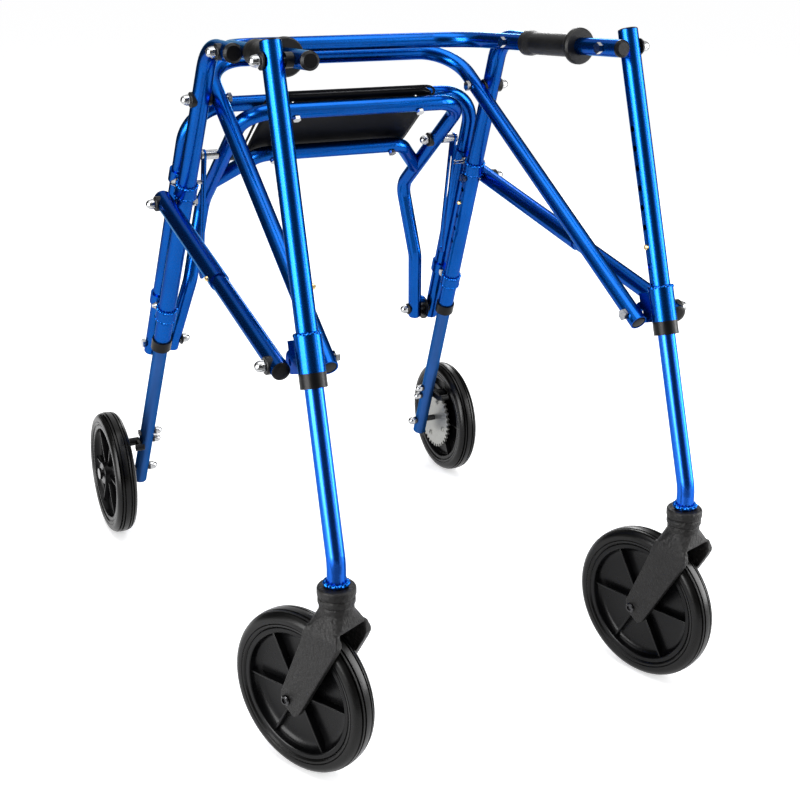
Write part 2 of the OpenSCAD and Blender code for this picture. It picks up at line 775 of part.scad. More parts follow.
// outer side brace, pivoted on the rear leg
module side_brace(s) {
    a = side_p5 - side_dir * side_over;
    b = side_p5 + side_dir * side_outer_len;
    color(blue) side(s) difference() {
        rod(a, b, leg_r);
        rod(a + side_dir * 3, b + side_dir, leg_bore);
        cross_hole(side_p5, bolt_r + turn_clear, leg_od);
    }
}

// inner side brace, which slides into the outer one
module side_slide(s) {
    a = side_p5 + side_dir * (side_outer_len - side_overlap);
    b = side_p4 + side_dir * side_over;
    color(blue) side(s) difference() {
        rod(a, b, post_r);
        rod(a - side_dir, b - side_dir * 3, post_r - tube_wall);
        cross_hole(side_p4, bolt_r + fix_clear, leg_od);
    }
}

// nut end of the bracket bolt on the side brace
module side_nut(s) {
    color(steel) side(s) {
        cross_rod(side_p4, side_p4[0] - post_r, side_p4[0] + post_r + 0.4);
        translate([side_p4[0] + post_r + 0.4, p4[1], p4[2]]) rotate([0, 90, 0]) acorn();
    }
}

// rear post: slides in the rear leg and carries the axle at its foot
module rear_post(s) {
    top = rear_at(rear_button_down - 12);
    low = axle_c + rear_dir * 26;
    color(satin_blue) side(s) difference() {
        rod(top, low, post_r);
        rod(top - rear_dir, low + rear_dir, post_r - tube_wall);
        cross_hole(axle_c, rear_axle_d / 2 + fix_clear, leg_od);
        for (c = [pawl_c, spare_c])
            cross_hole(c, 3 + fix_clear, leg_od);
        on_rear() translate([0, 0, -rear_button_down]) rotate([0, -90, 0])
            cylinder(r = button_d / 2 + 0.2, h = leg_od, $fn = 20);
    }
}

module rear_button(s) {
    side(s) on_rear() translate([0, 0, -rear_button_down]) snap_button();
}

// rear axle bolt with the pawl's pivot bolt and a spare bolt above it, acorn nuts inboard
module rear_axle(s) {
    x0 = axle_c[0] - post_r - 0.4;
    x1 = wheel_x + rear_w / 2 + 3;
    color(steel) side(s) {
        translate([x0, axle_c[1], axle_c[2]]) rotate([0, 90, 0]) {
            cylinder(r = rear_axle_d / 2, h = x1 - x0);
            translate([0, 0, x1 - x0]) cylinder(r = 9, h = 4);
            rotate([180, 0, 0]) acorn();
        }
        rear_bolt(pawl_c, gear_x + gear_t + 0.4);
        rear_bolt(spare_c, spare_c[0] + post_r + 0.4);
    }
}

module rear_bolt(c, x1) {
    x0 = c[0] - post_r - 0.4;
    translate([x0, c[1], c[2]]) rotate([0, 90, 0]) {
        cylinder(r = 3, h = x1 - x0);
        translate([0, 0, x1 - x0]) cylinder(r = 5.5, h = 2.6, $fn = 6);
        rotate([180, 0, 0]) acorn(hex_r * 0.85);
    }
}

module rear_rim(s) {
    color(black) side(s) translate([wheel_x, axle_c[1], axle_c[2]])
        rim(rear_r, rear_w, rear_axle_d / 2);
}

module rear_tyre(s) {
    color(black) side(s) translate([wheel_x, axle_c[1], axle_c[2]]) tyre(rear_r, rear_w);
}

// toothed ratchet disc on the inboard face of the rear wheel
gear_x = wheel_x - rear_w / 2 - 1 - gear_t;
module ratchet_gear(s) {
    gr = gear_d / 2;
    step = 360 / gear_teeth;
    color(steel) side(s) translate([gear_x, axle_c[1], axle_c[2]]) rotate([0, 90, 0])
        linear_extrude(gear_t) difference() {
            polygon([for (i = [0 : gear_teeth - 1], k = [-0.24, 0.24, 0.34, 0.66])
                (abs(k) < 0.3 ? gr - 4.5 : gr) * [cos(gear_phase + (i + k) * step), sin(gear_phase + (i + k) * step)]]);
            circle(r = rear_axle_d / 2 + turn_clear);
            for (i = [0 : 3])
                rotate(i * 90 + 20) translate([gr * 0.66, 0]) circle(r = 3.2);
        }
}

// black ratchet pawl on the rear post: a lever, a hub and a tooth over the disc
module ratchet_pawl(s) {
    x0 = pawl_c[0] + post_r + 0.5;
    color(black) side(s) multmatrix(rows(pawl_u, pawl_v, [1, 0, 0], [0, pawl_c[1], pawl_c[2]])) difference() {
        union() {
            translate([0, 0, x0]) cylinder(r = 6.5, h = gear_x + gear_t - x0);
            translate([0, 0, x0]) linear_extrude(6) polygon([
                [-6, -4], [4, -5], [5, 2], [-3, 6], [-20, 12], [-30, 20], [-35, 14], [-24, 4]]);
            translate([-29.5, 15, x0]) cylinder(r = 5, h = 14);
            translate([0, 0, gear_x]) linear_extrude(gear_t) polygon([
                [-5, 3], [3, 6], [19, 3.5], [pawl_reach + 2.4, -1], [pawl_reach + 2.4, 4.5 - pawl_drop],
                [pawl_reach + 1.1, -pawl_drop], [pawl_reach - 1.1, -pawl_drop],
                [pawl_reach - 4, 4.5 - pawl_drop], [6, -4.5], [0, -6]]);
        }
        translate([0, 0, x0 - 5]) cylinder(r = 3 + turn_clear, h = 60);
    }
}

// seat frame: two bent arms, an upper crossbar, a bowed lower one and stubs at the pivots
module seat_frame() {
    a = seat_foot + unit(seat_foot - arm_bend) * 14;
    e = a + unit(seat_foot - arm_bend);
    p = [a, arm_bend, knee, seat_top, flip(seat_top), flip(knee), flip(arm_bend), flip(a)];
    q = [e, arm_bend, knee, seat_top, flip(seat_top), flip(knee), flip(arm_bend), flip(e)];
    low = [seat_low_half, seat_low[1], seat_low[2]];
    stub = seat_foot + unit(arm_bend - seat_foot) * 17;
    color(blue) difference() {
        union() {
            bar(p, seat_bend, hoop_r);
            bar([seat_end, low, flip(low), flip(seat_end)], 30, hoop_r - 0.1);
            for (s = [-1, 1])
                side(s) rod(stub, [seat_foot_x + hoop_r + 2.4, stub[1], stub[2]], 6);
        }
        bar(q, seat_bend, hoop_r - tube_wall);
        for (s = [-1, 1])
            side(s) {
                cross_hole(seat_foot, bolt_r + turn_clear, hoop_od);
                cross_hole(stay_c, bolt_r + fix_clear, hoop_od);
            }
        for (s = [-1, 1], c = [seat_low, seat_top])
            multmatrix(aim([s * seat_bolt_x, c[1], c[2]] - seat_norm * (hoop_od - 2), seat_norm))
                cylinder(r = seat_bolt_d / 2 + fix_clear, h = 2 * hoop_od - 4);
    }
}

// seat panel on the upper side of the crossbars
module seat_panel() {
    mid = seat_top - seat_along * (panel_l / 2 - panel_over) + seat_norm * (hoop_r + 1);
    m = rows([-1, 0, 0], seat_along, seat_norm, [0, mid[1], mid[2]]);
    color(black) difference() {
        multmatrix(m) linear_extrude(panel_t) offset(r = 25) square([panel_w - 50, panel_l - 50], center = true);
        for (s = [-1, 1], c = [seat_low, seat_top])
            multmatrix(aim([s * seat_bolt_x, c[1], c[2]] - seat_norm * (hoop_od - 2), seat_norm))
                cylinder(r = seat_bolt_d / 2 + fix_clear, h = hoop_od + hoop_r + 7);
    }
}

// bolts that hold the panel to the crossbars, and the arms' side bolts with their spacers
module seat_bolts() {
    color(steel) for (s = [-1, 1], c = [seat_low, seat_top])
        multmatrix(aim([s * seat_bolt_x, c[1], c[2]] - seat_norm * (hoop_r + 0.4), seat_norm)) {
            cylinder(r = seat_bolt_d / 2, h = 2 * hoop_r + 7);
            translate([0, 0, -4]) cylinder(r = seat_bolt_d, h = 4, $fn = 6);
        }
    color(steel) for (s = [-1, 1])
        side(s) {
            cross_rod(stay_c, seat_x - hoop_r - 0.6, stay_x + stay_t + 0.4);
            translate([seat_x - hoop_r - 0.6, stay_c[1], stay_c[2]]) rotate([0, -90, 0]) acorn();
            translate([seat_x + hoop_r + 0.3, stay_c[1], stay_c[2]]) rotate([0, 90, 0])
                cylinder(r = 7, h = stay_x - seat_x - hoop_r - 0.7);
            translate([stay_x + stay_t + 0.4, stay_c[1], stay_c[2]]) rotate([0, 90, 0]) cylinder(r = 7, h = 2.6);
        }
}

// black discs on the stubs beside the seat's pivots
module seat_clips() {
    x0 = seat_foot_x + hoop_r + 2.4;
    color(black) for (s = [-1, 1])
        side(s) translate([x0, p7[1], p7[2]]) rotate([0, 90, 0]) difference() {
            union() {
                cylinder(r = disc_d / 2, h = 3);
                translate([0, 0, 3]) cylinder(r1 = disc_d / 2, r2 = disc_d / 2 - 2, h = 1.5);
            }
            translate([0, 0, -1]) cylinder(r = bolt_r + turn_clear, h = 8);
        }
}

// slotted stay on the arm's side bolt; its slot runs on the upper clamp's long bolt
module seat_stay(s) {
    color(blue) side(s)
        multmatrix(rows(stay_dir, cross([1, 0, 0], stay_dir), [1, 0, 0], [stay_x, stay_c[1], stay_c[2]]))
            linear_extrude(stay_t) difference() {
                union() {
                    translate([0, -stay_w / 2]) square([stay_len, stay_w]);
                    circle(r = stay_w / 2);
                    translate([stay_len, 0]) circle(r = stay_w / 2);
                }
                circle(r = bolt_r + turn_clear);
                translate([32, -3.8]) square([stay_len - 34, 7.6]);
                translate([32, 0]) circle(r = 3.8);
                translate([stay_len - 2, 0]) circle(r = 3.8);
            }
}

rear_leg(1);  // rear_leg_left
rear_leg(-1);  // rear_leg_right
back_hoop();
hoop_clamps();
clamp_bolts();
pivot_bolts();
rear_bushes();
handle_hoop();
handgrip(1);  // handgrip_left
handgrip(-1);  // handgrip_right
handle_plugs();
handle_bolts();
brace_hoop();
brace_plugs();
brace_bolts();
front_leg(1);  // front_leg_left
front_leg(-1);  // front_leg_right
front_bracket(1);  // front_bracket_left
front_bracket(-1);  // front_bracket_right
front_bush(1);  // front_bush_left
front_bush(-1);  // front_bush_right
front_post(1);  // front_post_left
front_post(-1);  // front_post_right
front_button(1);  // front_button_left
front_button(-1);  // front_button_right
caster_fork(1);  // caster_fork_left
caster_fork(-1);  // caster_fork_right
caster_axle(1);  // caster_axle_left
caster_axle(-1);  // caster_axle_right
caster_rim(1);  // caster_rim_left
caster_rim(-1);  // caster_rim_right
caster_tyre(1);  // caster_tyre_left
caster_tyre(-1);  // caster_tyre_right
side_brace(1);  // side_brace_left
side_brace(-1);  // side_brace_right
side_slide(1);  // side_slide_left
side_slide(-1);  // side_slide_right
side_nut(1);  // side_nut_left
side_nut(-1);  // side_nut_right
rear_post(1);  // rear_post_left
rear_post(-1);  // rear_post_right
rear_button(1);  // rear_button_left
rear_button(-1);  // rear_button_right
rear_axle(1);  // rear_axle_left
rear_axle(-1);  // rear_axle_right
rear_rim(1);  // rear_rim_left
rear_rim(-1);  // rear_rim_right
rear_tyre(1);  // rear_tyre_left
rear_tyre(-1);  // rear_tyre_right
ratchet_gear(1);  // ratchet_gear_left
ratchet_gear(-1);  // ratchet_gear_right
ratchet_pawl(1);  // ratchet_pawl_left
ratchet_pawl(-1);  // ratchet_pawl_right
seat_frame();
seat_panel();
seat_bolts();
seat_clips();
seat_stay(1);  // seat_stay_left
seat_stay(-1);  // seat_stay_right
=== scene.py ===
import json
import math
import bmesh
import bpy
from mathutils import Matrix, Vector


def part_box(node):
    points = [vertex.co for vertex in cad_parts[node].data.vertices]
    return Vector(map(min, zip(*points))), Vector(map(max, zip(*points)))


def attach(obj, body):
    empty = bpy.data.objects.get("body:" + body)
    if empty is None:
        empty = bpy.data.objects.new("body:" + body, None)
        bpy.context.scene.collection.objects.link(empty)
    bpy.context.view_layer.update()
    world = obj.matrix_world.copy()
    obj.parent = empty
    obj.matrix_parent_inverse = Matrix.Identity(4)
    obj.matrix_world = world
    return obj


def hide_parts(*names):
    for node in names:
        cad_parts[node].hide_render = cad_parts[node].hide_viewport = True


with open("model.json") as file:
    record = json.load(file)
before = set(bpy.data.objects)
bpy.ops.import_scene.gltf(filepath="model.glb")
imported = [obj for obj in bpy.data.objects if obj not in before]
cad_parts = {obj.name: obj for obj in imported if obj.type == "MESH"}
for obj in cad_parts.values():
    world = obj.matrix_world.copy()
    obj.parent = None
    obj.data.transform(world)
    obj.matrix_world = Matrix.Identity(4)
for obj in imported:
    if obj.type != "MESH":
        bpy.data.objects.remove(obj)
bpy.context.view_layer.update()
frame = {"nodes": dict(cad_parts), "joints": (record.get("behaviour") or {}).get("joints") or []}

# Studio: a white sweep with a strip light over each shoulder of the camera, a broad light above
# and a strip behind. Black, grey and bright cards that only reflections see give round tubes
# their dark and bright bands. The camera stands before the walker's right front corner.
camera_data = bpy.data.cameras.new("studio_camera")
camera_data.sensor_width = 36.0
camera_data.lens = 58.84
camera_data.shift_y = -0.125
camera = bpy.data.objects.new("studio_camera", camera_data)
camera.location = (-0.7547, -1.6227, 0.9537)
camera.rotation_euler = (math.radians(74.201), math.radians(-0.381), math.radians(-25.896))
bpy.context.collection.objects.link(camera)
bpy.context.scene.camera = camera
bpy.context.scene.view_settings.view_transform = "Standard"
plain_white = (1, 1, 1, 1)
sky_on_walker, sky_seen = 0.55, 1.0
floor_half, floor_z = 40.0, -0.0005
floor_tone = (0.93, 0.93, 0.935, 1)
floor_glow = 0.48
view_turn = math.radians(-25.9)
card_z = 1.0


def studio_plane(name, half, place, turn):
    """A flat backdrop piece that belongs to the studio and not to the walker."""
    plane = bmesh.new()
    bmesh.ops.create_grid(plane, x_segments=1, y_segments=1, size=1.0)
    bmesh.ops.scale(plane, vec=(half[0], half[1], 1.0), verts=plane.verts)
    bmesh.ops.transform(plane, matrix=Matrix.Translation(place) @ turn, verts=plane.verts)
    data = bpy.data.meshes.new(name)
    plane.to_mesh(data)
    plane.free()
    backdrop_piece = bpy.data.objects.new(name, data)
    bpy.context.collection.objects.link(backdrop_piece)
    return backdrop_piece


def white_ray(tree):
    """1 for rays that should meet plain white: the camera's, mirror and glass rays."""
    path = tree.nodes.new("ShaderNodeLightPath")
    white = path.outputs["Is Camera Ray"]
    for kind in ("Is Glossy Ray", "Is Transmission Ray"):
        either = tree.nodes.new("ShaderNodeMath")
        either.operation = "MAXIMUM"
        tree.links.new(white, either.inputs[0])
        tree.links.new(path.outputs[kind], either.inputs[1])
        white = either.outputs[0]
    return white


def spread(tree, amount, low, high, target):
    """Stretch an amount of 0 to 1 between two levels, into a socket."""
    level = tree.nodes.new("ShaderNodeMapRange")
    level.inputs["To Min"].default_value = low
    level.inputs["To Max"].default_value = high
    tree.links.new(amount, level.inputs["Value"])
    tree.links.new(level.outputs[0], target)


def glow(tree, level):
    """White light of an even level that a surface sends out."""
    tone = tree.nodes.new("ShaderNodeEmission")
    tone.inputs["Color"].default_value = plain_white
    tone.inputs["Strength"].default_value = level
    return tone.outputs[0]


def studio_paint(name):
    """A paint for the studio, its node tree, and its surface, which is still bare."""
    paint = bpy.data.materials.new(name)
    paint.use_nodes = True
    tree = paint.node_tree
    tree.nodes.remove(tree.nodes["Principled BSDF"])
    return paint, tree, tree.nodes["Material Output"].inputs["Surface"]


def card_paint(name, level):
    """Even tone of a card, as light that it sends out."""
    paint, tree, surface = studio_paint(name)
    tree.links.new(glow(tree, level), surface)
    return paint


def reflection_card(name, half, place, turn, paint):
    """A card that only reflections see."""
    card = studio_plane(name, half, place, turn)
    card.visible_camera = False
    card.visible_diffuse = False
    card.visible_shadow = False
    card.visible_transmission = False
    card.data.materials.append(paint)


def upright_card(name, first, last, distance, half_tall, paint):
    """A card that faces the walker and spans an angle round it, counted from the camera's side."""
    angle = view_turn + math.radians((first + last) / 2)
    half_wide = distance * math.tan(math.radians((last - first) / 2))
    place = (distance * math.sin(angle), -distance * math.cos(angle), card_z)
    turn = Matrix.Rotation(angle, 4, "Z") @ Matrix.Rotation(math.pi / 2, 4, "X")
    reflection_card(name, (half_wide, half_tall), place, turn, paint)


def strip_light(name, place, aim, size, watts):
    """A rectangular lamp at a place, turned to the point that it lights."""
    lamp = bpy.data.lights.new(name, "AREA")
    lamp.shape = "RECTANGLE"
    lamp.size, lamp.size_y = size
    lamp.energy = watts
    holder = bpy.data.objects.new(name, lamp)
    holder.location = place
    holder.rotation_euler = (Vector(aim) - Vector(place)).to_track_quat("-Z", "Y").to_euler()
    bpy.context.collection.objects.link(holder)


world = bpy.data.worlds.new("white_sweep")
bpy.context.scene.world = world
world.use_nodes = True
sky = world.node_tree
backdrop = sky.nodes["Background"]
backdrop.inputs["Color"].default_value = plain_white
spread(sky, white_ray(sky), sky_on_walker, sky_seen, backdrop.inputs["Strength"])

studio_floor = studio_plane("studio_floor", half=(floor_half, floor_half), place=(0, 0, floor_z),
                            turn=Matrix.Identity(4))
floor_paint, tree, surface = studio_paint("pale_floor")
paper = tree.nodes.new("ShaderNodeBsdfDiffuse")
paper.inputs["Color"].default_value = floor_tone
lit_paper = tree.nodes.new("ShaderNodeAddShader")
tree.links.new(paper.outputs[0], lit_paper.inputs[0])
tree.links.new(glow(tree, floor_glow), lit_paper.inputs[1])
plain_mix = tree.nodes.new("ShaderNodeMixShader")
tree.links.new(white_ray(tree), plain_mix.inputs[0])
tree.links.new(paper.outputs[0], plain_mix.inputs[1])
tree.links.new(lit_paper.outputs[0], plain_mix.inputs[2])
tree.links.new(plain_mix.outputs[0], surface)
studio_floor.data.materials.append(floor_paint)

black_card = card_paint("black_card", level=0.08)
grey_card = card_paint("grey_card", level=0.4)
bright_card = card_paint("bright_card", level=14.0)
upright_card("camera_card", first=-14, last=44, distance=2.7, half_tall=1.6, paint=black_card)
upright_card("left_card", first=-150, last=-76, distance=2.4, half_tall=1.6, paint=black_card)
upright_card("right_card", first=118, last=160, distance=2.6, half_tall=1.6, paint=black_card)
upright_card("left_bright_card", first=-64, last=-30, distance=2.9, half_tall=1.3,
             paint=bright_card)
upright_card("right_bright_card", first=78, last=104, distance=2.9, half_tall=1.3,
             paint=bright_card)
reflection_card("low_card", half=(1.1, 0.75), place=(-0.55, -1.45, 0.002),
                turn=Matrix.Rotation(view_turn, 4, "Z"), paint=grey_card)
strip_light("left_strip", place=(-2.4, -1.5, 1.3), aim=(0, 0, 0.5), size=(0.5, 2.4), watts=34)
strip_light("right_strip", place=(1.9, -2.3, 1.5), aim=(0, 0, 0.5), size=(0.4, 2.4), watts=24)
strip_light("top_panel", place=(0.0, -0.3, 3.0), aim=(0, 0, 0.4), size=(2.6, 2.0), watts=60)
strip_light("rear_strip", place=(1.6, 2.4, 1.8), aim=(0, 0, 0.5), size=(0.4, 2.2), watts=26)

# Rear legs and back hoop: one-inch and seven-eighths-inch aluminium tube, drawn, bent cold and
# anodised in a deep transparent blue over bright metal, so a tube mirrors the lights in blue.
# The faint grain in the finish is that of the drawn metal under the colour.
nodes = frame["nodes"]
leg_r = 0.0127
hoop_r = 0.0111


def new_finish(name):
    """A fresh finish with its node tree and its surface shader."""
    paint = bpy.data.materials.new(name)
    paint.use_nodes = True
    return paint, paint.node_tree, paint.node_tree.nodes["Principled BSDF"]


def speckle(tree, scale, detail, roughness=0.5):
    """Noise over a piece's own coordinates."""
    place = tree.nodes.new("ShaderNodeTexCoord")
    noise = tree.nodes.new("ShaderNodeTexNoise")
    noise.inputs["Scale"].default_value = scale
    noise.inputs["Detail"].default_value = detail
    noise.inputs["Roughness"].default_value = roughness
    tree.links.new(place.outputs["Object"], noise.inputs["Vector"])
    return noise.outputs["Fac"]


def toned(tree, skin, amount, low, high):
    """Blend a surface's colour between two stops, each a position and a tone."""
    ramp = tree.nodes.new("ShaderNodeValToRGB")
    for stop, (position, tone) in zip(ramp.color_ramp.elements, (low, high)):
        stop.position = position
        stop.color = (*tone, 1)
    tree.links.new(amount, ramp.inputs["Fac"])
    tree.links.new(ramp.outputs["Color"], skin.inputs["Base Color"])


def grained(tree, skin, height, strength, depth):
    """Raise the grain of a surface."""
    bump = tree.nodes.new("ShaderNodeBump")
    bump.inputs["Strength"].default_value = strength
    bump.inputs["Distance"].default_value = depth
    tree.links.new(height, bump.inputs["Height"])
    tree.links.new(bump.outputs["Normal"], skin.inputs["Normal"])


def anodised(name, colour, rough, streak, coat):
    """Dyed oxide over bright aluminium, slightly uneven, with the fine grain of drawn metal."""
    paint, tree, skin = new_finish(name)
    skin.inputs["Metallic"].default_value = 1.0
    skin.inputs["Specular Tint"].default_value = (0.01, 0.42, 0.6, 1)
    skin.inputs["Coat Weight"].default_value = coat
    skin.inputs["Coat Roughness"].default_value = 0.06
    grain = speckle(tree, scale=900.0, detail=2.0)
    cloud = speckle(tree, scale=14.0, detail=3.0)
    deep_dye = [c * 0.88 for c in colour]
    thin_dye = [min(1, c * 1.1) for c in colour]
    toned(tree, skin, cloud, low=(0.3, deep_dye), high=(0.7, thin_dye))
    spread(tree, grain, rough * 0.8, rough * 1.25, skin.inputs["Roughness"])
    grained(tree, skin, grain, strength=streak, depth=0.0002)
    return paint


def dress(names, paint):
    """Give the named frame pieces one finish."""
    for name in names:
        data = nodes[name].data
        data.materials.clear()
        data.materials.append(paint)


blue_anodised = anodised("blue_anodised", (0.0010, 0.060, 0.28), rough=0.26, streak=0.015, coat=0.1)
dress(["rear_leg_left", "rear_leg_right", "back_hoop"], blue_anodised)

# Hoop clamps: short aluminium collars round leg and hoop with a web between them, anodised with
# the frame. A rippled weld bead runs round each collar where it meets the tube.
joints = {joint["name"]: joint for joint in frame["joints"]}
sides = (("left", 1), ("right", -1))
leg_up = {hand: Vector(joints[f"rear_height_{hand}"]["axis"]) for hand, s in sides}
brace_pivot = Vector(joints["brace_fold"]["pos_m"])
rear_leg_x = 0.224
clamp_down = (0.147, 0.370)
clamp_half = 0.009
leg_bead_r = leg_r + 0.0008
clamp_bead_t, clamp_ripples = 0.0029, 15
bead_sharp = 60


def level_with(pivot, x):
    """The point of a pivot's line across the walker that lies at x."""
    return Vector((x, pivot.y, pivot.z))


def join(bm, shape, base, axis):
    """Set a shape made along z onto base, pointing along axis, and add it to a piece."""
    turn = Vector(axis).to_track_quat("Z", "Y").to_matrix().to_4x4()
    bmesh.ops.transform(shape, matrix=Matrix.Translation(base) @ turn, verts=shape.verts)
    carrier = bpy.data.meshes.new("carrier")
    shape.to_mesh(carrier)
    shape.free()
    bm.from_mesh(carrier)
    bpy.data.meshes.remove(carrier)


def turned(bm, profile, base, axis, steps=40, closed=False):
    """Spin a profile of (radius, height) points about an axis that starts at base."""
    lathe = bmesh.new()
    ring = [lathe.verts.new((r, 0.0, h)) for r, h in profile]
    for first, second in zip(ring, ring[1:]):
        lathe.edges.new((first, second))
    if closed:
        lathe.edges.new((ring[-1], ring[0]))
    bmesh.ops.spin(lathe, geom=lathe.verts[:] + lathe.edges[:], cent=(0, 0, 0), axis=(0, 0, 1),
                   angle=2 * math.pi, steps=steps, use_merge=True)
    bmesh.ops.remove_doubles(lathe, verts=lathe.verts, dist=1e-6)
    bmesh.ops.recalc_face_normals(lathe, faces=lathe.faces)
    join(bm, lathe, base, axis)


def finished(name, bm, paint, body, sharp=38.0):
    """Make a piece of a mesh, smooth it up to an angle, and put it on a body."""
    data = bpy.data.meshes.new(name)
    bm.to_mesh(data)
    bm.free()
    data.shade_smooth()
    data.set_sharp_from_angle(angle=math.radians(sharp))
    data.materials.append(paint)
    piece = bpy.data.objects.new(name, data)
    bpy.context.collection.objects.link(piece)
    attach(piece, body)
    return piece


def weld_bead(bm, base, axis, radius, thick, ripples):
    """A ring of overlapping weld puddles round a tube."""
    flat, swell, wander, stagger = 0.9, 0.16, 0.1, 0.25
    bead = [(radius + thick * math.cos(a), thick * flat * math.sin(a))
            for a in [k * math.pi / 5 for k in range(10)]]
    ring = bmesh.new()
    turned(ring, bead, (0, 0, 0), (0, 0, 1), steps=96, closed=True)
    for vert in ring.verts:
        angle = math.atan2(vert.co.y, vert.co.x)
        outward = Vector((vert.co.x, vert.co.y, 0)).normalized()
        puddle = (swell * thick * math.sin(ripples * angle)
                  + wander * thick * math.sin(3 * angle + 1.0))
        lean = stagger * thick * math.sin(ripples * angle + 0.7)
        vert.co += outward * puddle + Vector((0, 0, lean))
    join(bm, ring, base, axis)


dress(["hoop_clamps"], blue_anodised)
clamp_beads = bmesh.new()
for hand, s in sides:
    leg_top = level_with(brace_pivot, s * rear_leg_x)
    for down in clamp_down:
        for end in (-clamp_half, clamp_half):
            weld_bead(clamp_beads, leg_top - leg_up[hand] * (down + end), leg_up[hand],
                      leg_bead_r, clamp_bead_t, clamp_ripples)
finished("clamp_weld_beads", clamp_beads, blue_anodised, "frame", sharp=bead_sharp)

# Pivot and clamp bolts: stock steel bolts with bright plated acorn nuts. Under each nut sits a
# black nylon saddle washer that hugs the tube, and a thin one parts the tubes at each pivot.
handle_pivot = Vector(joints["frame_fold"]["pos_m"])
side_pivot = Vector(joints["side_brace_left"]["pos_m"])
seat_pivot = Vector(joints["seat_swing"]["pos_m"])
level_leg_x = 0.2201
side_tube_x = 0.2597
seat_foot_x = 0.213
hoop_foot_x = 0.2462
nut_r = 0.0076
washer_r, washer_t = 0.0106, 0.0028
washer_edge, washer_reach = 0.0008, 0.005
spacer_r, spacer_t = 0.009, 0.0017
hoop_spacer_r, hoop_spacer_t = 0.0085, 0.003
foot_washer_r, foot_washer_off = 0.0095, 0.0006


def plated(name, colour, rough, mark):
    """Plated steel with fine tooling marks and a slightly uneven tone."""
    paint, tree, skin = new_finish(name)
    skin.inputs["Metallic"].default_value = 1.0
    grain = speckle(tree, scale=420.0, detail=4.0)
    dull = [c * 0.82 for c in colour]
    toned(tree, skin, grain, low=(0.35, dull), high=(0.65, colour))
    spread(tree, grain, rough * 0.7, rough * 1.3, skin.inputs["Roughness"])
    grained(tree, skin, grain, strength=mark, depth=0.0003)
    return paint


def clouded(name, colour, rough, spec):
    """Black plastic, rubber or vinyl with a slightly uneven tone and sheen, still without grain."""
    paint, tree, skin = new_finish(name)
    skin.inputs["Specular IOR Level"].default_value = spec
    cloud = speckle(tree, scale=30.0, detail=3.0)
    dark = [c * 0.7 for c in colour]
    pale = [c * 1.4 for c in colour]
    toned(tree, skin, cloud, low=(0.3, dark), high=(0.72, pale))
    spread(tree, cloud, rough - 0.1, rough + 0.1, skin.inputs["Roughness"])
    return paint, tree, skin


def moulded(name, colour, rough, spec, grain_scale, grain_depth):
    """Moulded black plastic or rubber with its own fine grain."""
    paint, tree, skin = clouded(name, colour, rough, spec)
    grain = speckle(tree, grain_scale, detail=4.0, roughness=0.6)
    grained(tree, skin, grain, strength=1.0, depth=grain_depth)
    return paint


def acorn_nut(bm, base, axis, r):
    """Hex nut with rounded corners and a ball dome, seated on base."""
    hex_h, hex_round = r * 0.72, r * 0.08
    dome_r, dome_h, dome_base, dome_foot = r * 0.9, r * 0.95, r * 0.7, r * 0.3
    hexagon = bmesh.new()
    bmesh.ops.create_cone(hexagon, cap_ends=True, segments=6, radius1=r, radius2=r, depth=hex_h)
    bmesh.ops.translate(hexagon, verts=hexagon.verts, vec=(0, 0, hex_h / 2))
    bmesh.ops.bevel(hexagon, geom=hexagon.edges[:], offset=hex_round, offset_type="OFFSET",
                    affect="EDGES", segments=2, profile=0.5, material=-1)
    join(bm, hexagon, base, axis)
    dome = [(dome_r * math.cos(a), dome_base + dome_h * math.sin(a))
            for a in [k * math.pi / 16 for k in range(8)]]
    turned(bm, [(0, dome_foot), (dome_r, dome_foot), *dome, (0, dome_base + dome_h)],
           base, axis, steps=28)


def saddle_washer(bm, base, axis, depth=washer_reach, r=washer_r, t=washer_t):
    """Nylon washer that reaches down round the tube's flank."""
    turned(bm, [(0, -depth), (r, -depth), (r, t - washer_edge), (r - washer_edge, t), (0, t)],
           base, axis, steps=36)


bright_plate = plated("bright_plate", (0.40, 0.405, 0.41), rough=0.16, mark=0.04)
washer_nylon = moulded("washer_nylon", (0.003, 0.003, 0.0034), rough=0.4, spec=0.18,
                       grain_scale=600.0, grain_depth=0.000048)
dress(["clamp_bolts", "pivot_bolts"], bright_plate)
frame_nuts = bmesh.new()
frame_washers = bmesh.new()
for hand, s in sides:
    out = Vector((s, 0, 0))
    for pivot, tube_x in ((handle_pivot, level_leg_x), (brace_pivot, rear_leg_x),
                          (side_pivot, side_tube_x)):
        crest = level_with(pivot, s * (tube_x + leg_r))
        saddle_washer(frame_washers, crest, out)
        acorn_nut(frame_nuts, crest + out * washer_t, out, nut_r)
    for pivot, tube_x in ((handle_pivot, level_leg_x), (brace_pivot, rear_leg_x)):
        saddle_washer(frame_washers, level_with(pivot, s * (tube_x - leg_r)), -out,
                      r=spacer_r, t=spacer_t)
    saddle_washer(frame_washers, level_with(seat_pivot, s * (hoop_foot_x - hoop_r)), -out,
                  r=hoop_spacer_r, t=hoop_spacer_t)
    foot_washer_x = seat_foot_x - hoop_r - foot_washer_off
    acorn_nut(frame_nuts, level_with(seat_pivot, s * (foot_washer_x - washer_t)), -out, nut_r)
    saddle_washer(frame_washers, level_with(seat_pivot, s * foot_washer_x), -out,
                  depth=0.0, r=foot_washer_r)
finished("frame_acorn_nuts", frame_nuts, bright_plate, "frame")
finished("frame_saddle_washers", frame_washers, washer_nylon, "frame")

# Rear leg bushes: black moulded plastic collars, pressed onto the rear legs' lower ends, in which
# the rear posts slide.
bush_plastic = moulded("bush_plastic", (0.003, 0.003, 0.0034), rough=0.34, spec=0.13,
                       grain_scale=620.0, grain_depth=0.000056)
dress(["rear_bushes"], bush_plastic)

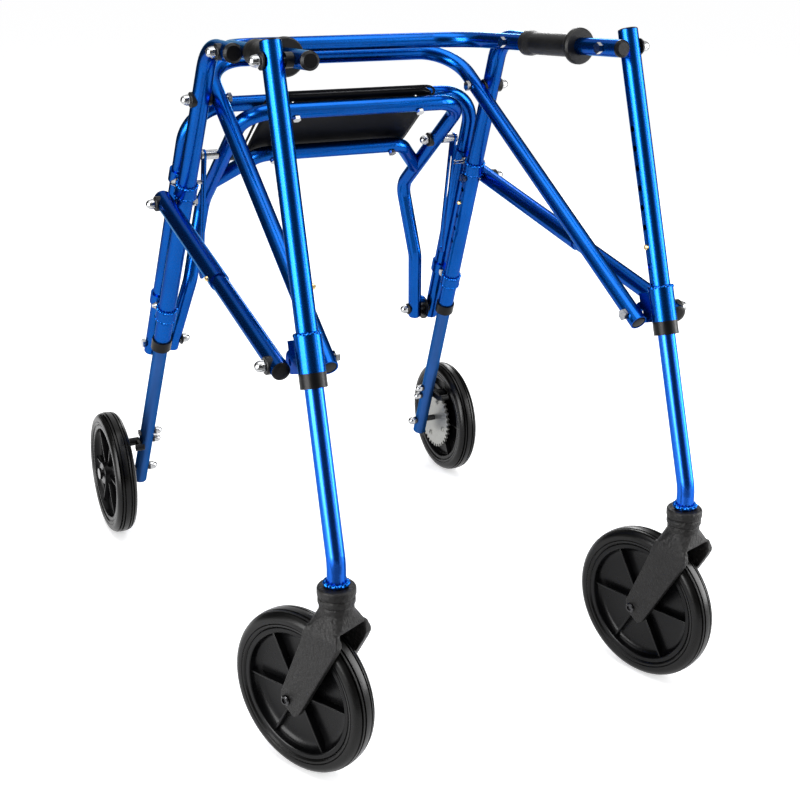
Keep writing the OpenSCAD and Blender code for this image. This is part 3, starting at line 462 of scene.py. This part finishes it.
# Handle hoop: one tube bent from the rear crossbar forward into both handle bars. Round black
# plugs close its front ends, and bolts with acorn nuts outboard hold the front legs to it.
front_pivot = Vector(joints["front_leg_left"]["pos_m"])
front_leg_x = 0.240
handle_washer_off = 0.0004
dress(["handle_hoop"], blue_anodised)
dress(["handle_plugs"], bush_plastic)
dress(["handle_bolts"], bright_plate)
handle_nuts = bmesh.new()
handle_washers = bmesh.new()
for hand, s in sides:
    out = Vector((s, 0, 0))
    crest = level_with(front_pivot, s * (front_leg_x + leg_r))
    saddle_washer(handle_washers, crest + out * handle_washer_off, out, depth=0.0)
    acorn_nut(handle_nuts, crest + out * (washer_t + handle_washer_off), out, nut_r)
finished("handle_acorn_nuts", handle_nuts, bright_plate, "handle")
finished("handle_saddle_washers", handle_washers, washer_nylon, "handle")

# Handgrips: soft black rubber sleeves pushed onto the handle bars, with a bulge behind the hand
# and a wide flange before it.
grip_rubber = moulded("grip_rubber", (0.005, 0.0048, 0.0048), rough=0.46, spec=0.16,
                      grain_scale=700.0, grain_depth=0.00012)
dress(["handgrip_left", "handgrip_right"], grip_rubber)

# Brace hoop: one tube with a crossbar under the handle hoop, bent forward and down to the front
# brackets. Its open ends are closed by black plugs set a little inside the tube.
brace_end = Vector((0.21247, -0.33000, 0.47739))
brace_way = Vector((0.0295, -0.8482, -0.5288))
plug_r, plug_deep, plug_edge = hoop_r - 0.0014, 0.008, 0.0012
plug_profile = [(0, -plug_deep), (plug_r, -plug_deep), (plug_r, -plug_edge),
                (plug_r - plug_edge, -0.0004), (0.006, 0), (0, 0)]
dress(["brace_hoop"], blue_anodised)
dress(["brace_bolts"], bright_plate)
brace_plugs = bmesh.new()
for hand, s in sides:
    turned(brace_plugs, plug_profile, level_with(brace_end, s * brace_end.x),
           level_with(brace_way, s * brace_way.x))
piece = finished("brace_end_plugs", brace_plugs, bush_plastic, "brace")
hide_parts("brace_plugs")

# Front legs: one-inch tube leaning back, with a row of drilled holes for the snap button and a
# black cap pressed into the top. The bracket is a sleeve with a channel, welded on at the foot.
front_up = Vector(joints["front_height_left"]["axis"])
cap_r, cap_deep = 0.0126, 0.006
cap_stem_r = cap_r - 0.0014
cap_profile = [(0, -cap_deep), (cap_stem_r, -cap_deep), (cap_stem_r, 0.0002), (cap_r, 0.0002),
               (cap_r, 0.0012), (cap_r - 0.0009, 0.002), (0.006, 0.0024), (0, 0.0025)]
bracket_len = 0.042
bracket_bead_up = bracket_len + 0.0006
bracket_bead_t, bracket_ripples = 0.0028, 16
for hand, s in sides:
    body = f"front_leg_{hand}"
    dress([f"front_leg_{hand}", f"front_bracket_{hand}"], blue_anodised)
    dress([f"front_bush_{hand}"], bush_plastic)
    low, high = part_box(f"front_leg_{hand}")
    leg_top = Vector((s * front_leg_x, high.y - leg_r * front_up.z, high.z - leg_r * front_up.y))
    leg_low = Vector((s * front_leg_x, low.y + leg_r * front_up.z, low.z + leg_r * front_up.y))
    cap = bmesh.new()
    turned(cap, cap_profile, leg_top, front_up)
    finished(f"front_leg_cap_{hand}", cap, bush_plastic, body)
    bead = bmesh.new()
    weld_bead(bead, leg_low + front_up * bracket_bead_up, front_up,
              leg_bead_r, bracket_bead_t, bracket_ripples)
    finished(f"bracket_weld_bead_{hand}", bead, blue_anodised, body, sharp=bead_sharp)

# Side braces: an outer and an inner tube that telescope, from the rear leg to the front bracket.
# A brass snap button locks them, and black plugs close the front ends.
side_outer_len = 0.260
button_back, button_sunk = 0.013, 0.0002
button_profile = [(0.0034, -0.003), (0.0034, 0.0008), (0.003, 0.0022), (0.0016, 0.003), (0, 0.0032)]
post_r = 0.011
end_plug_r, end_plug_stem, end_plug_deep = post_r - 0.0002, post_r - 0.0016, 0.004
end_plug_profile = [(0, -end_plug_deep), (end_plug_stem, -end_plug_deep), (end_plug_stem, 0.0002),
                    (end_plug_r, 0.0002), (end_plug_r, 0.0014), (post_r - 0.0012, 0.0022),
                    (0.005, 0.0026), (0, 0.0027)]
side_nut_in, side_washer_in = 0.0095, 0.0119
button_brass = plated("button_brass", (0.80, 0.58, 0.26), rough=0.24, mark=0.08)
for hand, s in sides:
    out = Vector((s, 0, 0))
    body = f"side_slide_{hand}"
    dress([f"side_brace_{hand}", f"side_slide_{hand}"], blue_anodised)
    dress([f"side_nut_{hand}"], bright_plate)
    forward = -Vector(joints[f"side_brace_slide_{hand}"]["axis"])
    rear_end = level_with(side_pivot, s * side_tube_x)
    outward = (out - forward * forward.dot(out)).normalized()
    button = bmesh.new()
    button_at = rear_end + forward * (side_outer_len - button_back)
    turned(button, button_profile, button_at + outward * (leg_r - button_sunk), outward, steps=24)
    finished(f"side_brace_button_{hand}", button, button_brass, f"side_brace_{hand}")
    low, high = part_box(f"side_slide_{hand}")
    reach = (rear_end.y - (low.y - post_r * forward.z)) / -forward.y
    plug = bmesh.new()
    turned(plug, end_plug_profile, rear_end + forward * reach, forward)
    finished(f"side_brace_plug_{hand}", plug, bush_plastic, body)
    low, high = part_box(f"side_nut_{hand}")
    nut_top = level_with((low + high) / 2, high.x if s > 0 else low.x)
    nut = bmesh.new()
    acorn_nut(nut, nut_top - out * side_nut_in, out, nut_r)
    finished(f"side_acorn_nut_{hand}", nut, bright_plate, body)
    washer = bmesh.new()
    saddle_washer(washer, nut_top - out * side_washer_in, out)
    finished(f"side_saddle_washer_{hand}", washer, washer_nylon, body)

# Front posts: tube of 22 mm that slides in the front leg, bent upright over the caster. It has a
# slightly paler dye than the legs, and a weld ring round its foot above the fork's neck.
post_bead_up, post_bead_r = 0.0034, post_r + 0.0012
post_bead_t, post_ripples = 0.0031, 13
post_anodised = anodised("post_anodised", (0.010, 0.088, 0.45), rough=0.24, streak=0.015, coat=0.1)
for hand, s in sides:
    dress([f"front_post_{hand}"], post_anodised)
    dress([f"front_button_{hand}"], button_brass)
    foot = Vector(joints[f"caster_swivel_{hand}"]["pos_m"])
    foot.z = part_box(f"caster_fork_{hand}")[1].z + post_bead_up
    bead = bmesh.new()
    weld_bead(bead, foot, (0, 0, 1), post_bead_r, post_bead_t, post_ripples)
    finished(f"post_weld_bead_{hand}", bead, blue_anodised, f"front_post_{hand}",
             sharp=bead_sharp)

# Caster forks: moulded glass-filled nylon, with a ringed neck, sloping shoulders and two broad
# arms that trail to the axle. All edges are rounded by the mould and the skin is finely mottled.
arm_in, arm_out = 0.021, 0.030
axle_z = 0.100
ridge_z, roof_z, neck_z, neck_top = 0.199, 0.206, 0.222, 0.2514
crown_half = (0.030, 0.025)
roof_half, roof_corner = (0.0272, 0.0235), 0.008
collar_half, collar_corner = 0.0205, 0.0204
shoulder_half, shoulder_corner, shoulder_slope = (arm_out - arm_in) / 2, 0.0025, 0.0014
overlap = 0.0006
neck_r, stem_r, stem_deep = 0.0225, 0.0085, 0.003
neck_profile = [
    (0, neck_z - 0.008), (neck_r - 0.003, neck_z - 0.008), (neck_r - 0.0022, neck_z),
    (neck_r - 0.0022, neck_z + 0.0062), (neck_r - 0.0036, neck_z + 0.0072),
    (neck_r - 0.0036, neck_z + 0.0084), (neck_r - 0.0008, neck_z + 0.0096),
    (neck_r - 0.0008, neck_z + 0.0158), (neck_r - 0.0028, neck_z + 0.0168),
    (neck_r - 0.0028, neck_z + 0.0180), (neck_r, neck_z + 0.0192), (neck_r, neck_top - 0.0022),
    (neck_r - 0.0016, neck_top), (stem_r, neck_top), (stem_r, neck_top - stem_deep),
    (0, neck_top - stem_deep)]
fork_voxel, fork_rounds = 0.001, 3
bolt_r, head_r, head_h, socket_r = 0.0048, 0.0062, 0.0034, 0.0034
head_edge, socket_deep = 0.0012, 0.002
bolt_face = arm_out + 0.0002
head_profile = [(0, 0), (head_r, 0), (head_r, head_h - head_edge), (head_r - head_edge, head_h),
                (socket_r, head_h), (0.003, head_h - socket_deep), (0, head_h - socket_deep)]
fork_nylon = moulded("fork_nylon", (0.0062, 0.0058, 0.0056), rough=0.42, spec=0.17,
                     grain_scale=240.0, grain_depth=0.0018)
bolt_black = plated("bolt_black", (0.05, 0.05, 0.052), rough=0.22, mark=0.04)


def middle_of(node):
    """Centre of a frame piece's box."""
    low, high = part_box(node)
    return (low + high) / 2


def voxel_skin(piece, voxel):
    """Wrap a piece in one even skin."""
    skin = piece.modifiers.new("skin", "REMESH")
    skin.mode = "VOXEL"
    skin.voxel_size = voxel


def applied(piece):
    """A mesh of a piece with its modifiers applied."""
    graph = bpy.context.evaluated_depsgraph_get()
    return bpy.data.meshes.new_from_object(piece.evaluated_get(graph))


def softened(shape, name, voxel, rounds, paint, body, node):
    """Fuse a shape into one moulding with rounded edges, in place of the sharp frame piece."""
    rough_data = bpy.data.meshes.new(name + "_rough")
    shape.to_mesh(rough_data)
    shape.free()
    rough = bpy.data.objects.new(name + "_rough", rough_data)
    bpy.context.collection.objects.link(rough)
    voxel_skin(rough, voxel)
    smooth = rough.modifiers.new("round", "SMOOTH")
    smooth.factor = 0.5
    smooth.iterations = rounds
    moulding = applied(rough)
    bpy.data.objects.remove(rough)
    made = bmesh.new()
    made.from_mesh(moulding)
    bpy.data.meshes.remove(moulding)
    piece = finished(name, made, paint, body, sharp=70)
    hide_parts(node)


def slab(bm, low_outline, high_outline, low_at, high_at, place):
    """A block between two outlines of equal length that lie on parallel planes."""
    low = [bm.verts.new(place @ Vector((*point, low_at))) for point in low_outline]
    high = [bm.verts.new(place @ Vector((*point, high_at))) for point in high_outline]
    bm.faces.new(low)
    bm.faces.new(high)
    for k in range(len(low)):
        bm.faces.new((low[k - 1], low[k], high[k], high[k - 1]))


def boxed(half_x, half_y, corner, middle_x=0.0, steps=4):
    """Outline of a rectangle with rounded corners."""
    points = []
    for quarter in range(4):
        cx = (half_x - corner) * (1, -1, -1, 1)[quarter]
        cy = (half_y - corner) * (1, 1, -1, -1)[quarter]
        for k in range(steps + 1):
            angle = (quarter + k / steps) * math.pi / 2
            points.append((middle_x + cx + corner * math.cos(angle), cy + corner * math.sin(angle)))
    return points


for hand, s in sides:
    hub = middle_of(f"caster_tyre_{hand}")
    stem = Vector(joints[f"caster_swivel_{hand}"]["pos_m"])
    stem.z = 0.0
    back = Vector((hub.x - stem.x, hub.y - stem.y, 0.0))
    trail = back.length
    back.normalize()
    upward = Vector((0, 0, 1))
    across = back.cross(upward)
    upright = Matrix.Translation(stem) @ Matrix((across, back, upward)).transposed().to_4x4()
    sideways = Matrix.Translation(stem) @ Matrix((back, upward, across)).transposed().to_4x4()
    front, rear = -crown_half[1], crown_half[1]
    arm_outline = [
        (front, ridge_z), (front - 0.001, ridge_z - 0.007), (front + 0.003, ridge_z - 0.016),
        (trail - 0.0225, axle_z - 0.007), (trail - 0.0185, axle_z - 0.014),
        (trail - 0.011, axle_z - 0.0185), (trail + 0.004, axle_z - 0.0085),
        (trail + 0.0085, axle_z - 0.001), (trail + 0.0088, axle_z + 0.008),
        (rear + 0.003, ridge_z - 0.012), (rear, ridge_z)]
    shape = bmesh.new()
    slab(shape, boxed(*roof_half, roof_corner), boxed(collar_half, collar_half, collar_corner),
         roof_z - overlap, neck_z, upright)
    for k in (-1, 1):
        slab(shape, arm_outline, arm_outline, k * arm_in, k * arm_out, sideways)
        slab(shape,
             boxed(shoulder_half, crown_half[1], shoulder_corner, k * (arm_in + shoulder_half)),
             boxed(shoulder_half - shoulder_slope, roof_half[1], shoulder_corner,
                   k * (arm_in + shoulder_half - shoulder_slope)),
             ridge_z - overlap, roof_z, upright)
    turned(shape, neck_profile, stem, upward, steps=64)
    bmesh.ops.recalc_face_normals(shape, faces=shape.faces)
    softened(shape, f"nylon_fork_{hand}", fork_voxel, fork_rounds, fork_nylon, f"caster_{hand}",
             f"caster_fork_{hand}")
    bolt = bmesh.new()
    axle = stem + back * trail + upward * axle_z
    turned(bolt, [(0, -bolt_face), (bolt_r, -bolt_face), (bolt_r, bolt_face), (0, bolt_face)],
           axle, across, steps=32)
    for way in (-across, across):
        turned(bolt, head_profile, axle + way * bolt_face, way, steps=32)
    piece = finished(f"caster_bolt_{hand}", bolt, bolt_black, f"caster_{hand}")
    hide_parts(f"caster_axle_{hand}")

# Wheels: a nylon rim with a flat flange, a deep barrel and six thin ribs on a middle web, and a
# solid rubber tyre with four grooves round its tread, stretched over the rim.
caster_r, caster_w, caster_bore = 0.100, 0.034, 0.0045
rear_r, rear_w, rear_bore = 0.09825, 0.033, 0.0055
tyre_depth = 0.019
outer_groove, inner_groove = 0.0046, 0.0036
rib_count, rib_thick, rib_round = 6, 0.0028, 0.0009
wheel_sharp = 32
rim_nylon = moulded("rim_nylon", (0.002, 0.002, 0.0023), rough=0.28, spec=0.13,
                    grain_scale=480.0, grain_depth=0.00004)
tyre_rubber = moulded("tyre_rubber", (0.0018, 0.0017, 0.0016), rough=0.28, spec=0.17,
                      grain_scale=380.0, grain_depth=0.00004)


def wheel_tyre(name, hub, axis, r, width, body, node):
    """Grooved tyre: flat sidewall with a bead line, round shoulders and four tread grooves."""
    h = width / 2
    half = [(r - tyre_depth, h - 0.0032), (r - 0.0172, h - 0.0012), (r - 0.0150, h - 0.0008),
            (r - 0.0143, h - 0.0016), (r - 0.0134, h - 0.0006), (r - 0.0095, h - 0.0002),
            (r - 0.0060, h - 0.0014), (r - 0.0034, h - 0.0036), (r - 0.0018, h - 0.0060),
            (r - outer_groove, h - 0.0068), (r - outer_groove, h - 0.0077),
            (r - 0.0009, h - 0.0085), (r - 0.0005, h - 0.0104),
            (r - inner_groove, h - 0.0111), (r - inner_groove, h - 0.0121),
            (r - 0.0002, h - 0.0128), (r, h - 0.0150)]
    loop = half + [(radius, -x) for radius, x in reversed(half)]
    bm = bmesh.new()
    turned(bm, loop, hub, axis, steps=112, closed=True)
    piece = finished(name, bm, tyre_rubber, body, sharp=wheel_sharp)
    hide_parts(node)


def wheel_rim(name, hub, axis, r, width, bore, body, node):
    """Rim in one moulding: flange, barrel, web, hub and ribs."""
    seat = r - tyre_depth - 0.0002
    h = (width - 0.006) / 2
    hub_r, hub_h = bore + 0.012, width / 2
    half = [(seat, h - 0.0006), (seat - 0.0008, h + 0.0004), (seat - 0.0052, h + 0.0004),
            (seat - 0.0062, h - 0.0004), (seat - 0.0068, h - 0.0022), (seat - 0.0074, h - 0.0060),
            (seat - 0.0092, 0.0050), (seat - 0.0128, 0.0030), (seat - 0.0180, 0.0021),
            (hub_r + 0.006, 0.0021), (hub_r + 0.002, 0.0032), (hub_r + 0.0006, 0.0060),
            (hub_r, hub_h), (hub_r - 0.0008, hub_h + 0.0010), (bore + 0.0004, hub_h + 0.0010)]
    loop = half + [(radius, -x) for radius, x in reversed(half)]
    bm = bmesh.new()
    turned(bm, loop, hub, axis, steps=96, closed=True)
    rib_in, rib_out, rib_half = hub_r - 0.003, seat - 0.0064, h - 0.0026
    for k in range(rib_count):
        around = Matrix.Rotation(k * 2 * math.pi / rib_count, 3, "Z")
        rib = bmesh.new()
        bmesh.ops.create_cube(rib, size=1.0)
        bmesh.ops.scale(rib, vec=(rib_out - rib_in, rib_thick, 2 * rib_half), verts=rib.verts)
        bmesh.ops.bevel(rib, geom=rib.edges[:], offset=rib_round, offset_type="OFFSET",
                        affect="EDGES", segments=2, profile=0.5, material=-1)
        bmesh.ops.translate(rib, verts=rib.verts, vec=((rib_in + rib_out) / 2, 0, 0))
        bmesh.ops.rotate(rib, verts=rib.verts, cent=(0, 0, 0), matrix=around)
        join(bm, rib, hub, axis)
    piece = finished(name, bm, rim_nylon, body, sharp=wheel_sharp)
    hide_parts(node)


for hand, s in sides:
    for kind, r, width, bore in (("caster", caster_r, caster_w, caster_bore),
                                 ("rear", rear_r, rear_w, rear_bore)):
        hub = middle_of(f"{kind}_tyre_{hand}")
        axis = Vector(joints[f"{kind}_spin_{hand}"]["axis"])
        body = f"{kind}_wheel_{hand}"
        wheel_tyre(f"{kind}_grooved_tyre_{hand}", hub, axis, r, width, body, f"{kind}_tyre_{hand}")
        wheel_rim(f"{kind}_ribbed_rim_{hand}", hub, axis, r, width, bore, body,
                  f"{kind}_rim_{hand}")

# Rear posts: tube of 22 mm with a matt etched finish under the same blue. Each slides in a rear
# leg and carries the rear axle and the pawl on bolts with acorn nuts inboard.
axle_x = 0.2587
pawl_up, spare_up = 0.062, 0.080
small_nut_r = nut_r * 0.86
nut_seat_x = axle_x - (post_r + 0.0026)
satin_anodised = anodised("satin_blue_anodised", (0.021, 0.066, 0.21), rough=0.42, streak=0.1,
                          coat=0.02)
for hand, s in sides:
    dress([f"rear_post_{hand}"], satin_anodised)
    dress([f"rear_button_{hand}"], button_brass)
    dress([f"rear_axle_{hand}"], bolt_black)
    foot = level_with(Vector(joints[f"rear_spin_{hand}"]["pos_m"]), s * nut_seat_x)
    nuts = bmesh.new()
    for up, r in ((0.0, nut_r), (pawl_up, small_nut_r), (spare_up, small_nut_r)):
        acorn_nut(nuts, foot + leg_up[hand] * up, (-s, 0, 0), r)
    finished(f"rear_acorn_nuts_{hand}", nuts, bright_plate, f"rear_post_{hand}")

# Ratchet discs and pawls: the disc is stamped steel with a dull zinc coat, screwed to the rear
# rim, and the pawl is a black nylon lever on its own bolt, turned down by hand to lock the wheel.
pawl_voxel, pawl_rounds = 0.0007, 2
screw_count, screw_reach, first_screw = 4, 0.0356, 20
screw_profile = [(0, -0.0022), (0.001, -0.0022), (0.0012, -0.0010), (0.0022, -0.0010),
                 (0.0024, -0.0020), (0.0044, -0.0012), (0.0048, 0.0004), (0, 0.0004)]
zinc_plate = plated("zinc_plate", (0.30, 0.30, 0.285), rough=0.44, mark=0.4)
for hand, s in sides:
    dress([f"ratchet_gear_{hand}"], zinc_plate)
    pawl = bmesh.new()
    pawl.from_mesh(nodes[f"ratchet_pawl_{hand}"].data)
    bmesh.ops.remove_doubles(pawl, verts=pawl.verts, dist=1e-5)
    softened(pawl, f"nylon_pawl_{hand}", pawl_voxel, pawl_rounds, bush_plastic, f"pawl_{hand}",
             f"ratchet_pawl_{hand}")
    low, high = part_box(f"ratchet_gear_{hand}")
    middle = (low + high) / 2
    face = low.x if s > 0 else high.x
    screws = bmesh.new()
    for k in range(screw_count):
        angle = math.radians(360 / screw_count * k + first_screw)
        head = Vector((face, middle.y + s * screw_reach * math.sin(angle),
                       middle.z - screw_reach * math.cos(angle)))
        turned(screws, screw_profile, head, (s, 0, 0), steps=24)
    finished(f"ratchet_screws_{hand}", screws, zinc_plate, f"rear_wheel_{hand}")

# Seat frame and stays: bent tube with two crossbars, anodised with the frame, and a flat slotted
# stay that hangs from a bolt on each arm. Black discs part the arms from the back hoop's feet.
seat_x = 0.169
stay_pivot = Vector(joints["seat_stay_left"]["pos_m"])
dress(["seat_frame", "seat_stay_left", "seat_stay_right"], blue_anodised)
dress(["seat_bolts"], bright_plate)
dress(["seat_clips"], bush_plastic)
seat_nuts = bmesh.new()
seat_washers = bmesh.new()
for hand, s in sides:
    inward = Vector((-s, 0, 0))
    crest = level_with(stay_pivot, s * (seat_x - hoop_r))
    saddle_washer(seat_washers, crest, inward)
    acorn_nut(seat_nuts, crest + inward * washer_t, inward, nut_r)
finished("seat_acorn_nuts", seat_nuts, bright_plate, "seat")
finished("seat_saddle_washers", seat_washers, washer_nylon, "seat")

# Seat pad: foam on a board, covered in grained black vinyl that is drawn tight and piped along
# its edge. The cover is stapled under the board, which is bolted to both crossbars. Its swell
# comes from a cloth under pressure, held to a few millimetres above and less on the board side.
pad_w, pad_l, pad_t = 0.262, 0.170, 0.018
pad_corner, pad_edge = 0.024, 0.005
swell_room, swell_room_t = 0.005, 0.0036
pad_along = Vector((0, -0.78468, 0.61990))
pad_up = Vector((0, 0.61990, 0.78468))
pad_turn = Matrix((Vector((-1, 0, 0)), pad_along, pad_up)).transposed().to_4x4()
pad_place = Matrix.Translation(middle_of("seat_panel")) @ pad_turn
foam_voxel = 0.0045
cover_pressure, cover_steps = 4.0, 20
swell_cap, board_cap, board_level = 0.005, 0.0008, -0.002
crown_top = pad_t / 2 + 0.0004


def grained_vinyl(name, colour):
    """Vinyl with a leather grain of small cells and a soft, slightly worn sheen."""
    paint, tree, skin = clouded(name, colour, rough=0.4, spec=0.05)
    place = tree.nodes.new("ShaderNodeTexCoord")
    cells = tree.nodes.new("ShaderNodeTexVoronoi")
    cells.inputs["Scale"].default_value = 620.0
    tree.links.new(place.outputs["Object"], cells.inputs["Vector"])
    grained(tree, skin, cells.outputs["Distance"], strength=0.35, depth=0.0003)
    return paint


def rise(edge):
    """How far an edge climbs."""
    return abs(edge.verts[0].co.z - edge.verts[1].co.z)


seat_vinyl = grained_vinyl("seat_vinyl", (0.0010, 0.0010, 0.0016))
pad_shape = bmesh.new()
bmesh.ops.create_cube(pad_shape, size=1.0)
bmesh.ops.scale(pad_shape, vec=(pad_w - swell_room, pad_l - swell_room, pad_t - swell_room_t),
                verts=pad_shape.verts)
uprights = [edge for edge in pad_shape.edges if rise(edge) > 0.001]
bmesh.ops.bevel(pad_shape, geom=uprights, offset=pad_corner, offset_type="OFFSET",
                affect="EDGES", segments=8, profile=0.5, material=-1)
rims = [edge for edge in pad_shape.edges if rise(edge) < 1e-6]
bmesh.ops.bevel(pad_shape, geom=rims, offset=pad_edge, offset_type="OFFSET",
                affect="EDGES", segments=4, profile=0.5, material=-1)
pad_data = bpy.data.meshes.new("padded_seat")
pad_shape.to_mesh(pad_data)
pad_shape.free()
padded_seat = bpy.data.objects.new("padded_seat", pad_data)
bpy.context.collection.objects.link(padded_seat)
voxel_skin(padded_seat, foam_voxel)
foam = applied(padded_seat)
padded_seat.modifiers.clear()
padded_seat.data = foam
rest = [vert.co.copy() for vert in foam.vertices]
cloth = padded_seat.modifiers.new("cover", "CLOTH")
cloth.settings.use_pressure = True
cloth.settings.uniform_pressure_force = cover_pressure
cloth.settings.effector_weights.gravity = 0.0
for step in range(1, cover_steps + 1):
    bpy.context.scene.frame_set(step)
swollen = applied(padded_seat)
padded_seat.modifiers.clear()
bpy.context.scene.frame_set(1)
for vert, start in zip(swollen.vertices, rest):
    move = vert.co - start
    cap = swell_cap if start.z > board_level else board_cap
    vert.co = start + move * min(1.0, cap / max(move.length, 1e-9))
    vert.co.z = min(vert.co.z, crown_top)
padded_seat.data = swollen
padded_seat.data.transform(pad_place)
padded_seat.data.shade_smooth()
padded_seat.data.materials.clear()
padded_seat.data.materials.append(seat_vinyl)
finer = padded_seat.modifiers.new("finer", "SUBSURF")
finer.levels = finer.render_levels = 1
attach(padded_seat, "seat")
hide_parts("seat_panel")

# Piping: a thin vinyl cord sewn into the seam round the pad's edge, of the same vinyl as the
# cover. Its round section runs along each side and turns through each corner in one sweep.
piping_r, piping_in = 0.0019, 0.0006
half_w, half_l = pad_w / 2 - piping_in, pad_l / 2 - piping_in
span_w, span_l = half_w - pad_corner, half_l - pad_corner
piping = bmesh.new()
bmesh.ops.create_circle(piping, cap_ends=False, segments=10, radius=piping_r)
bmesh.ops.rotate(piping, verts=piping.verts, cent=(0, 0, 0),
                 matrix=Matrix.Rotation(math.pi / 2, 3, "X"))
bmesh.ops.translate(piping, verts=piping.verts, vec=(half_w, -span_l, 0))
ring = piping.edges[:]
for quarter in range(4):
    turn = Matrix.Rotation(quarter * math.pi / 2, 3, "Z")
    side_way = turn @ Vector((0, 2 * (span_l if quarter % 2 == 0 else span_w), 0))
    made = bmesh.ops.extrude_edge_only(piping, edges=ring)["geom"]
    verts = [item for item in made if isinstance(item, bmesh.types.BMVert)]
    bmesh.ops.translate(piping, verts=verts, vec=side_way)
    ring = [item for item in made
            if isinstance(item, bmesh.types.BMEdge) and all(v in verts for v in item.verts)]
    centre = Vector((span_w * (1, -1, -1, 1)[quarter], span_l * (1, 1, -1, -1)[quarter], 0))
    swept = bmesh.ops.spin(piping, geom=verts + ring, cent=centre, axis=(0, 0, 1),
                           angle=math.pi / 2, steps=8)
    ring = [item for item in swept["geom_last"] if isinstance(item, bmesh.types.BMEdge)]
bmesh.ops.remove_doubles(piping, verts=piping.verts, dist=2e-5)
bmesh.ops.recalc_face_normals(piping, faces=piping.faces)
bmesh.ops.transform(piping, matrix=pad_place, verts=piping.verts)
finished("seat_piping", piping, seat_vinyl, "seat")
